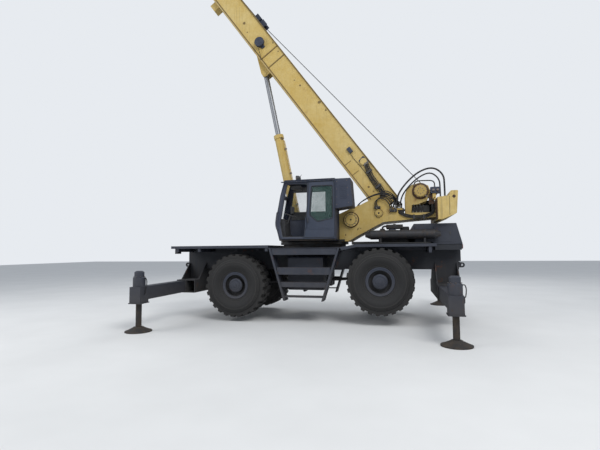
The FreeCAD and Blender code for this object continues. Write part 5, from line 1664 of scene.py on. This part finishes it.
@dataclass
class Hydraulics:
    """Valve blocks, clamped hoses and the hose loops round the boom's foot."""

    finishes: Finishes
    bolts: Fasteners
    hose_radius: float = 0.015
    # Hoses on the boom's left side as (distance along, height) before their spread
    side_run: tuple[tuple[float, float], ...] = (
        (1.440, 0.600), (1.300, 0.555), (1.050, 0.485), (0.780, 0.468), (0.520, 0.470),
        (0.340, 0.420),
    )

    def dress(self) -> None:
        """Makes every hydraulic piece."""
        self._side_hoses()
        self._foot_loops()
        self._bridge_hoses()
        self._valve_block()
        self._winch_lines()
        self._cylinder_line()

    def _crimped(self, name: str, path: Sequence[Vector], radius: float) -> list[bpy.types.Object]:
        """A hose with a steel ferrule at each end."""
        parts = [sweep(name, path, radius, self.finishes["hose_rubber"], 10)]
        for end, inward in ((path[0], path[1]), (path[-1], path[-2])):
            way = (Vector(inward) - Vector(end)).normalized()
            parts.append(turned(
                name + "_ferrule", Vector(end) - way * 0.004, way,
                [(0, 0), (radius * 1.45, 0), (radius * 1.45, 0.020), (radius * 1.22, 0.024),
                 (radius * 1.22, 0.062), (radius * 0.9, 0.066), (0, 0.066)],
                self.finishes["fitting_steel"], 12))
        return parts

    def _side_hoses(self) -> None:
        """Four clamped hoses down the boom's left side from the round port."""
        parts = []
        for i in range(4):
            shift = (i - 1.5) * 0.040
            y = 0.312 + 0.012 * (i % 2)
            path = smooth_path([boom_point(u, w + shift, y) for u, w in self.side_run], 8)
            parts += self._crimped("side_hose", path, self.hose_radius)
        for u, w in ((1.17, 0.52), (0.66, 0.468)):
            corners = [boom_point(u + du, w + dw, 0.268)
                       for du, dw in ((-0.03, -0.095), (0.03, -0.095), (0.03, 0.095), (-0.03, 0.095))]
            parts.append(slab("clamp", corners, Vector((0, 0.078, 0)), self.finishes["cab_trim"],
                              0.006))
        corners = [boom_point(u, w, 0.268) for u, w in (
            (1.40, 0.50), (1.62, 0.47), (1.66, 0.66), (1.42, 0.69))]
        parts.append(slab("port_plate", corners, Vector((0, 0.030, 0)),
                          self.finishes["cab_slate"], 0.006))
        sensor = [boom_point(u, w, 0.268) for u, w in (
            (1.95, 0.40), (2.13, 0.40), (2.13, 0.52), (1.95, 0.52))]
        parts.append(slab("angle_sensor", sensor, Vector((0, 0.060, 0)),
                          self.finishes["cab_slate"], 0.010))
        parts.append(sweep("sensor_lead", smooth_path([
            boom_point(1.96, 0.43, 0.30), boom_point(1.80, 0.40, 0.285),
            boom_point(1.30, 0.42, 0.285), boom_point(0.90, 0.38, 0.285),
            boom_point(0.55, 0.36, 0.285)], 6), 0.006, self.finishes["hose_rubber"], 8))
        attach(joined("boom_side_hoses", parts), "boom")
        LOG.info("boom side hoses")

    def _foot_loops(self) -> None:
        """Hose loops from the turntable over the foot pin to the boom."""
        lead = boom_point(self.side_run[-1][0], self.side_run[-1][1], 0.32)
        parts = []
        for i in range(4):
            lift = (i - 1.5) * 0.045
            y = 0.345 + 0.034 * i
            up = boom_point(self.side_run[-1][0], self.side_run[-1][1] + (i - 1.5) * 0.040, y - 0.02)
            path = smooth_path([
                (-2.455 - 0.032 * i, y - 0.05, 3.185), (-2.430 - 0.02 * i, y, 3.36),
                (-2.315, y + 0.01, 3.500 + lift), (-2.150, y + 0.01, 3.570 + lift),
                (-2.010, y, 3.530 + lift * 0.8), tuple(up)], 8)
            parts += self._crimped("foot_hose", path, self.hose_radius)
        made = joined("foot_hose_loops", parts)
        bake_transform(made)
        LOG.info("foot hose loops")

    def _bridge_hoses(self) -> None:
        """Hoses that arch over the left side plate's top edge, in front of the boom's foot."""
        parts = []
        outer = ((-2.450, 0.585, 3.070), (-2.444, 0.605, 3.180), (-2.390, 0.612, 3.340),
                 (-2.262, 0.612, 3.495), (-2.070, 0.612, 3.560), (-1.850, 0.605, 3.520),
                 (-1.640, 0.585, 3.430), (-1.470, 0.515, 3.330), (-1.395, 0.470, 3.230),
                 (-1.370, 0.455, 3.080), (-1.365, 0.450, 2.900))
        inner = ((-2.330, 0.585, 3.110), (-2.325, 0.605, 3.200), (-2.285, 0.612, 3.320),
                 (-2.180, 0.612, 3.425), (-2.040, 0.612, 3.440), (-1.935, 0.608, 3.370),
                 (-1.915, 0.600, 3.260), (-1.960, 0.590, 3.170))
        for shift in (0.0, 0.045):
            for name, route in (("bridge_hose", outer), ("bridge_loop", inner)):
                path = smooth_path([(x + shift, y + shift * 0.5, z - shift * 0.9)
                                    for x, y, z in route], 8)
                parts += self._crimped(name, path, 0.0145)
        for x, z, wide in ((-2.470, 3.020, 0.20), (-2.020, 3.120, 0.17)):
            parts.append(brick("bulkhead", (x, 0.5605, z), (x + wide, 0.625, z + 0.070),
                               self.finishes["engine_iron"], 0.008))
        for x, z, r, out in ((-1.970, 3.000, 0.105, 0.063), (-1.190, 2.830, 0.195, 0.108)):
            for y, inner_r, outer_r, thick, coat in (
                # The wide rusty ring round each boss's foot on the plate is painted shadow.
                (0.5602, r + 0.0005, r * 1.15, 0.006, "rusty_iron"),
                (0.5423 + out, r * 0.725, r * 0.775, 0.003, "seal_rubber"),
                (0.5602 + out, 0.0, 0.024, 0.006, "seal_rubber"),
            ):
                parts.append(turned(
                    "boss_trim", Vector((x, y, z)), Vector((0, 1, 0)),
                    [(inner_r, 0), (outer_r, 0), (outer_r, thick), (inner_r, thick)]
                    + ([(inner_r, 0)] if inner_r else []), self.finishes[coat], 40))
        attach(joined("bridge_hoses", parts), "superstructure")
        LOG.info("bridge hoses")

    def _valve_block(self) -> None:
        """The stack of spool valves between the turntable's side plates."""
        f = self.finishes
        parts = []
        for i in range(7):
            y = -0.26 + 0.085 * i
            parts.append(brick("valve", (-2.665, y, 2.850), (-2.415, y + 0.070, 3.150),
                               f["engine_iron"], 0.008))
            for x in (-2.60, -2.50):
                parts.append(turned("valve_port", Vector((x, y + 0.035, 3.148)), Vector((0, 0, 1)),
                                    [(0, 0), (0.022, 0), (0.022, 0.024), (0.015, 0.030),
                                     (0.015, 0.046), (0, 0.046)], f["fitting_steel"], 6))
            parts.append(turned("spool_cap", Vector((-2.415, y + 0.035, 3.04)), Vector((1, 0, 0)),
                                [(0, 0), (0.024, 0), (0.024, 0.045), (0.016, 0.052), (0, 0.052)],
                                f["bolt_steel"], 16))
        parts.append(brick("valve_bed", (-2.69, -0.29, 2.836), (-2.39, 0.345, 2.862),
                           f["body_yellow"], 0.004))
        for i in range(5):
            y = -0.20 + 0.10 * i
            path = smooth_path([(-2.60, y, 3.18), (-2.60, y, 3.30), (-2.52 + 0.02 * i, y, 3.38),
                                (-2.40, y * 0.9, 3.31), (-2.32, y * 0.8, 3.10),
                                (-2.28, y * 0.8, 2.86)], 7)
            parts += self._crimped("valve_hose", path, 0.013)
        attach(joined("valve_stack", parts), "superstructure")
        LOG.info("valve stack")

    def _winch_lines(self) -> None:
        """Hoses along the tail, the manifold behind the winch and its lines."""
        f = self.finishes
        parts = []
        for i in range(3):
            drop, y = 0.036 * i, 0.581 + 0.008 * i
            path = smooth_path([
                (-2.47, 0.47, 3.080 - 0.4 * drop), (-2.53, 0.575, 3.050 - drop),
                (-2.68, y, 2.960 - drop), (-2.92, y, 2.905 - drop), (-3.18, y, 2.915 - drop),
                (-3.38, y, 2.985 - drop), (-3.475, y - 0.04, 3.140 - drop),
                (-3.490, 0.44, 3.300)], 8)
            parts += self._crimped("tail_hose", path, 0.014)
        for x in (-2.92, -3.18):
            parts.append(brick("tail_clamp", (x - 0.02, 0.555, 2.80), (x + 0.02, 0.612, 2.935),
                               f["cab_trim"], 0.004))
        parts.append(brick("manifold", (-3.640, 0.300, 3.520), (-3.385, 0.455, 3.700),
                           f["cab_slate"], 0.010))
        parts.append(brick("manifold_foot", (-3.53, 0.32, 3.345), (-3.44, 0.43, 3.525),
                           f["body_yellow"], 0.004))
        for x, z in ((-3.46, 3.61), (-3.57, 3.61)):
            parts.append(turned("manifold_cap", Vector((x, 0.452, z)), Vector((0, 1, 0)),
                                [(0, 0), (0.034, 0), (0.034, 0.030), (0.022, 0.038), (0, 0.038)],
                                f["bolt_steel"], 20))
        over = smooth_path([(-2.955, 0.40, 3.768), (-2.975, 0.40, 3.845), (-3.060, 0.40, 3.888),
                            (-3.250, 0.40, 3.892), (-3.420, 0.40, 3.880), (-3.492, 0.40, 3.820),
                            (-3.500, 0.40, 3.700)], 8)
        parts += self._crimped("winch_hose", over, 0.016)
        under = smooth_path([(-3.240, 0.42, 3.470), (-3.330, 0.44, 3.400), (-3.420, 0.44, 3.340),
                             (-3.500, 0.42, 3.420), (-3.560, 0.40, 3.524)], 8)
        parts += self._crimped("winch_drain", under, 0.012)
        parts.append(brick("bay_pump", (-3.492, -0.26, 3.240), (-3.392, 0.300, 3.560),
                           f["engine_iron"], 0.012))
        parts.append(brick("bay_tank", (-3.360, -0.24, 2.986), (-2.900, 0.290, 3.205),
                           f["engine_iron"], 0.015))
        for x, y in ((-3.442, 0.335), (-3.442, -0.305)):
            parts.append(turned("accumulator", Vector((x, y, 2.986)), Vector((0, 0, 1)),
                                [(0, 0), (0.030, 0), (0.042, 0.03), (0.042, 0.44), (0.026, 0.50),
                                 (0.014, 0.51), (0.014, 0.54), (0, 0.54)], f["seal_rubber"], 20))
        for side in (-1, 1):
            parts.append(turned("boss_ring", Vector((-3.120, side * 0.3602, 3.600)),
                                Vector((0, side, 0)),
                                [(0.1755, 0), (0.228, 0), (0.228, 0.010), (0.212, 0.018),
                                 (0.1755, 0.018), (0.1755, 0)], f["rusty_iron"], 40))
            # Dark sheets on the counterweight's front faces: painted shade.
            parts.append(brick("weight_face_shade", (-3.4995, min(side * 0.575, side * 1.090), 2.765),
                               (-3.488, max(side * 0.575, side * 1.090), 3.320),
                               f["rusty_iron"], 0.003))
            parts.append(brick("weight_seam", (-3.794, min(side * 1.0996, side * 1.1030), 2.850),
                               (-3.786, max(side * 1.0996, side * 1.1030), 3.350),
                               f["seal_rubber"], 0.001))
            parts.append(turned("weight_eye", Vector((-3.905, side * 1.0996, 3.335)),
                                Vector((0, side, 0)),
                                [(0, 0), (0.040, 0), (0.040, 0.006), (0.026, 0.008), (0.024, 0.002),
                                 (0, 0.002)], f["rusty_iron"], 24))
        parts.append(brick("bay_screen", (-3.490, -0.402, 2.990), (-2.860, -0.388, 3.420),
                           f["engine_iron"], 0.003))
        parts.append(brick("bay_cheek", (-3.485, 0.366, 3.225), (-3.335, 0.378, 3.505),
                           f["rusty_iron"], 0.003))
        for i in range(4):
            x = -2.93 - 0.085 * i
            path = smooth_path([(x, 0.335, 3.205 - 0.04 * (i % 2)), (x + 0.004, 0.372, 3.215),
                                (x - 0.02, 0.395, 3.150), (x + 0.03 * (1 - i % 3), 0.398, 3.070),
                                (x + 0.02, 0.385, 2.990)], 7)
            parts += self._crimped("bay_feed", path, 0.012)
        for i, y in enumerate((-0.18, -0.06, 0.06)):
            path = smooth_path([(-2.66, y, 3.10), (-2.74, y, 3.16), (-2.80, y, 3.04),
                                (-2.84, y, 2.93), (-3.10, y, 2.90 + 0.01 * i),
                                (-3.42, y, 2.93)], 7)
            parts += self._crimped("bay_hose", path, 0.014)
        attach(joined("winch_lines", parts), "superstructure")
        LOG.info("winch lines")

    def _cylinder_line(self) -> None:
        """The feed pipe and holding valve on the lift cylinder's barrel."""
        foot, eye = Vector((0.480, 0, 2.390)), Vector((1.5480, 0, 7.6385))
        along = (eye - foot).normalized()
        out = Vector((-along.z, 0, along.x))
        side = Vector((0, 1, 0))

        def at(t: float, o: float, y: float) -> Vector:
            return foot + along * t + out * o + side * y

        pipe = smooth_path([at(0.55, 0.150, 0.06), at(0.62, 0.172, 0.06), at(0.75, 0.172, 0.06),
                            at(1.60, 0.172, 0.06), at(2.90, 0.172, 0.06), at(3.05, 0.165, 0.06),
                            at(3.10, 0.135, 0.06)], 6)
        parts = [sweep("feed_pipe", pipe, 0.012, self.finishes["cylinder_yellow"], 10)]
        for t in (1.0, 2.0, 2.8):
            parts.append(slab("pipe_clamp", [at(t - 0.02, 0.125, 0.03), at(t + 0.02, 0.125, 0.03),
                                             at(t + 0.02, 0.125, 0.09), at(t - 0.02, 0.125, 0.09)],
                              out * 0.066, self.finishes["bolt_steel"], 0.004))
        parts.append(slab("holding_valve", [at(0.38, 0.110, -0.07), at(0.58, 0.110, -0.07),
                                            at(0.58, 0.110, 0.09), at(0.38, 0.110, 0.09)],
                          out * 0.085, self.finishes["engine_iron"], 0.008))
        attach(joined("cylinder_line", parts), "lift_barrel")


@dataclass
class Boom:
    """Collar bolts, pin caps and small fittings of the telescoping boom."""

    finishes: Finishes
    bolts: Fasteners
    sections: tuple[tuple[str, float, float, float, float], ...] = (
        ("boom", 0.270, 0.020, 0.720, 9.800),
        ("boom_2", 0.232, 0.072, 0.668, 10.050),
        ("boom_3", 0.198, 0.112, 0.628, 10.300),
    )

    def dress(self) -> None:
        """Makes the small pieces of every section."""
        along = boom_point(1, 0) - boom_point(0, 0)
        up = boom_point(0, 1) - boom_point(0, 0)
        for body, half, low, high, front in self.sections:
            rows = []
            for side in (1, -1):
                for w in (low + 0.09, high - 0.09):
                    rows.append(self.bolts.lay(
                        Repeat.ROW, boom_point(front - 0.20, w, side * (half + 0.018)),
                        (0, side, 0), 0.14, 3, 0.012, tuple(along)))
            for y in (-half * 0.5, half * 0.5):
                rows.append(self.bolts.lay(
                    Repeat.ROW, boom_point(front - 0.20, high + 0.018, y), tuple(up), 0.14, 3,
                    0.012, tuple(along)))
            self.bolts.gather(f"collar_bolts_{body}", body, rows)
        self._fittings(along, up)

    def _fittings(self, along: Vector, up: Vector) -> None:
        """The lift pin's caps, the reel's cover and lead, and the bolts of the reel cover and the guide.
        """
        f = self.finishes
        parts = []
        for side in (1, -1):
            parts.append(turned(
                "lift_pin_cap", boom_point(5.82, -0.14, side * 0.155), Vector((0, side, 0)),
                [(0.062, 0), (0.062, 0.010), (0.050, 0.014), (0, 0.014)], f["body_yellow"], 32))
        parts.append(turned(
            "reel_cover", boom_point(6.65, 0.33, 0.393), Vector((0, 1, 0)),
            [(0.152, -0.02), (0.156, 0), (0.148, 0.012), (0.09, 0.020), (0.05, 0.030),
             (0, 0.032)], f["cab_slate"], 48))
        parts.append(sweep(
            "reel_lead",
            smooth_path([boom_point(6.55, 0.22, 0.31), boom_point(6.45, 0.16, 0.33),
                         boom_point(6.30, 0.10, 0.30), boom_point(6.18, 0.03, 0.318)], 6),
            0.008, f["hose_rubber"], 8))
        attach(joined("boom_small_parts", parts), "boom")
        rows = [
            self.bolts.lay(Repeat.RING, boom_point(6.65, 0.33, 0.404), (0, 1, 0), 0.128, 8, 0.006),
            self.bolts.lay(Repeat.ROW, boom_point(7.14, 0.75, 0.141), tuple(up), 0.46, 5, 0.008,
                           tuple(along)),
            self.bolts.lay(Repeat.ROW, boom_point(7.14, 0.75, -0.141), tuple(up), 0.46, 5, 0.008,
                           tuple(along)),
        ]
        self.bolts.gather("boom_bolts", "boom", rows)


class Coats:
    """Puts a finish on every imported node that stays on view."""

    PLAN = {
        "boom_yellow": ("boom_base", "boom_section_2", "boom_section_3", "boom_section_4"),
        "body_yellow": ("turntable", "counterweight", "hook_block"),
        "winch_yellow": ("winch_frame",),
        "cylinder_yellow": ("lift_barrel",),
        "chrome_rod": ("lift_rod",),
        "cab_slate": ("cab_shell", "cab_rear_box", "boom_fittings"),
        "door_slate": ("cab_door",),
        "cab_pane": ("cab_glass", "door_glass"),
        "cab_trim": ("cab_console", "lamps"),
        "slate_paint": ("front_deck", "rear_deck", "side_steps", "fuel_tank", "hydraulic_tank",
                        "engine_hood", "air_cleaner"),
        "chassis_paint": ("carrier_frame", "tow_eyes", "propshaft", "axle_front", "axle_rear",
                          "slew_ring", "radiator_grille"),
        "muffler_steel": ("muffler",),
        "engine_iron": ("engine_block",),
        "sheave_steel": ("winch_drum", "head_sheaves"),
    }

    def __init__(self, finishes: Finishes) -> None:
        """Keeps the finishes."""
        self.finishes = finishes

    def apply(self, nodes: dict[str, bpy.types.Object]) -> None:
        """Dresses the nodes.

        Args:
            nodes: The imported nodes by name.
        """
        plan = {node: coat for coat, names in self.PLAN.items() for node in names}
        for tag in WHEELS:
            plan[f"knuckle_{tag}"] = "chassis_paint"
            plan[f"tyre_{tag}"] = f"tyre_{tag}"
            plan[f"rim_{tag}"] = "wheel_paint"
            plan[f"beam_{tag}"] = "slate_paint"
            plan[f"jack_{tag}"] = "float_steel"
        for name, node in nodes.items():
            if name not in plan:
                continue
            for place in node.material_slots:
                place.material = self.finishes[plan[name]]
            if node.data.shape_keys is None:
                node.data.set_sharp_from_angle(angle=math.radians(30))


class Studio:
    """The camera at the photograph's angle, a pale floor and soft light."""

    CAMERA = Vector((-2.452, 11.919, 1.964))
    FOCAL_PX = 396.68
    YAW, PITCH, ROLL = 0.23953, 0.06439, -0.00821

    def build(self) -> None:
        """Makes the camera, the floor, the world and the lamps."""
        self._camera()
        self._floor()
        self._light()

    def _camera(self) -> None:
        """The fitted camera; Blender looks down its own -Z."""
        ahead = Vector((math.sin(self.YAW) * math.cos(self.PITCH),
                        -math.cos(self.YAW) * math.cos(self.PITCH), math.sin(self.PITCH)))
        right = ahead.cross(Vector((0, 0, 1))).normalized()
        up = right.cross(ahead)
        c, s = math.cos(self.ROLL), math.sin(self.ROLL)
        right, up = right * c + up * s, up * c - right * s
        data = bpy.data.cameras.new("camera")
        data.sensor_width = 36.0
        data.lens = self.FOCAL_PX / 600 * 36.0
        data.clip_end = 300
        camera = bpy.data.objects.new("camera", data)
        turn = Matrix((right, up, -ahead)).transposed()
        camera.matrix_world = Matrix.Translation(self.CAMERA) @ turn.to_4x4()
        bpy.context.scene.collection.objects.link(camera)
        bpy.context.scene.camera = camera

    def _floor(self) -> None:
        """A wide pale floor just under the floats."""
        g = Graph("floor_pale")
        tone = g.noise(0.6, 3).between(0.3, 0.7)
        material = g.finish(
            Base_Color=g.mix(tone, (0.64, 0.64, 0.63, 1), (0.68, 0.68, 0.67, 1)),
            Roughness=0.9,
        )
        size = 60.0
        floor = add_object(
            "floor", [(-size, -size, -0.002), (size, -size, -0.002), (size, size, -0.002),
                      (-size, size, -0.002)], [(0, 1, 2, 3)], material, False)
        if floor.data.polygons[0].normal.z < 0:
            floor.data.flip_normals()

    def _light(self) -> None:
        """A pale sky and two wide soft lamps."""
        world = bpy.data.worlds.new("sky")
        world.use_nodes = True
        tree = world.node_tree
        tree.nodes.clear()
        out = tree.nodes.new("ShaderNodeOutputWorld")
        soft = tree.nodes.new("ShaderNodeBackground")
        soft.inputs["Color"].default_value = (0.80, 0.86, 0.95, 1)
        soft.inputs["Strength"].default_value = 0.66
        seen = tree.nodes.new("ShaderNodeBackground")
        seen.inputs["Color"].default_value = (0.80, 0.83, 0.87, 1)
        seen.inputs["Strength"].default_value = 1.0
        rays = tree.nodes.new("ShaderNodeLightPath")
        blend = tree.nodes.new("ShaderNodeMixShader")
        most = tree.nodes.new("ShaderNodeMath")
        most.operation = "MAXIMUM"
        tree.links.new(rays.outputs["Is Camera Ray"], most.inputs[0])
        tree.links.new(rays.outputs["Is Transmission Ray"], most.inputs[1])
        tree.links.new(most.outputs[0], blend.inputs[0])
        tree.links.new(soft.outputs[0], blend.inputs[1])
        tree.links.new(seen.outputs[0], blend.inputs[2])
        tree.links.new(blend.outputs[0], out.inputs[0])
        bpy.context.scene.world = world
        for name, place, power, width in (
            ("key", (-9.0, 12.0, 15.0), 2050.0, 9.0),
            ("fill", (13.0, 9.0, 9.0), 850.0, 9.0),
            ("back", (0.0, -14.0, 14.0), 1000.0, 10.0),
        ):
            data = bpy.data.lights.new(name, "AREA")
            data.energy, data.size = power, width
            lamp = bpy.data.objects.new(name, data)
            lamp.location = place
            way = Vector((0, 0, 3.0)) - Vector(place)
            lamp.rotation_euler = way.to_track_quat("-Z", "Y").to_euler()
            bpy.context.scene.collection.objects.link(lamp)
        bpy.context.scene.view_settings.view_transform = "Standard"


def main() -> None:
    """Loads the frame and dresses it."""
    logging.basicConfig(level=logging.INFO, format="%(name)s: %(message)s")
    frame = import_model()
    Studio().build()
    finishes = Finishes()
    bolts = Fasteners(finishes)
    Coats(finishes).apply(frame["nodes"])
    Cab(finishes, bolts).open_shell(frame["nodes"]["cab_shell"])
    for assembly in (Hoist, Hydraulics, Boom, Cab, Chassis):
        LOG.info("dressing %s", assembly.__name__)
        assembly(finishes, bolts).dress()


if __name__ == "__main__":
    main()
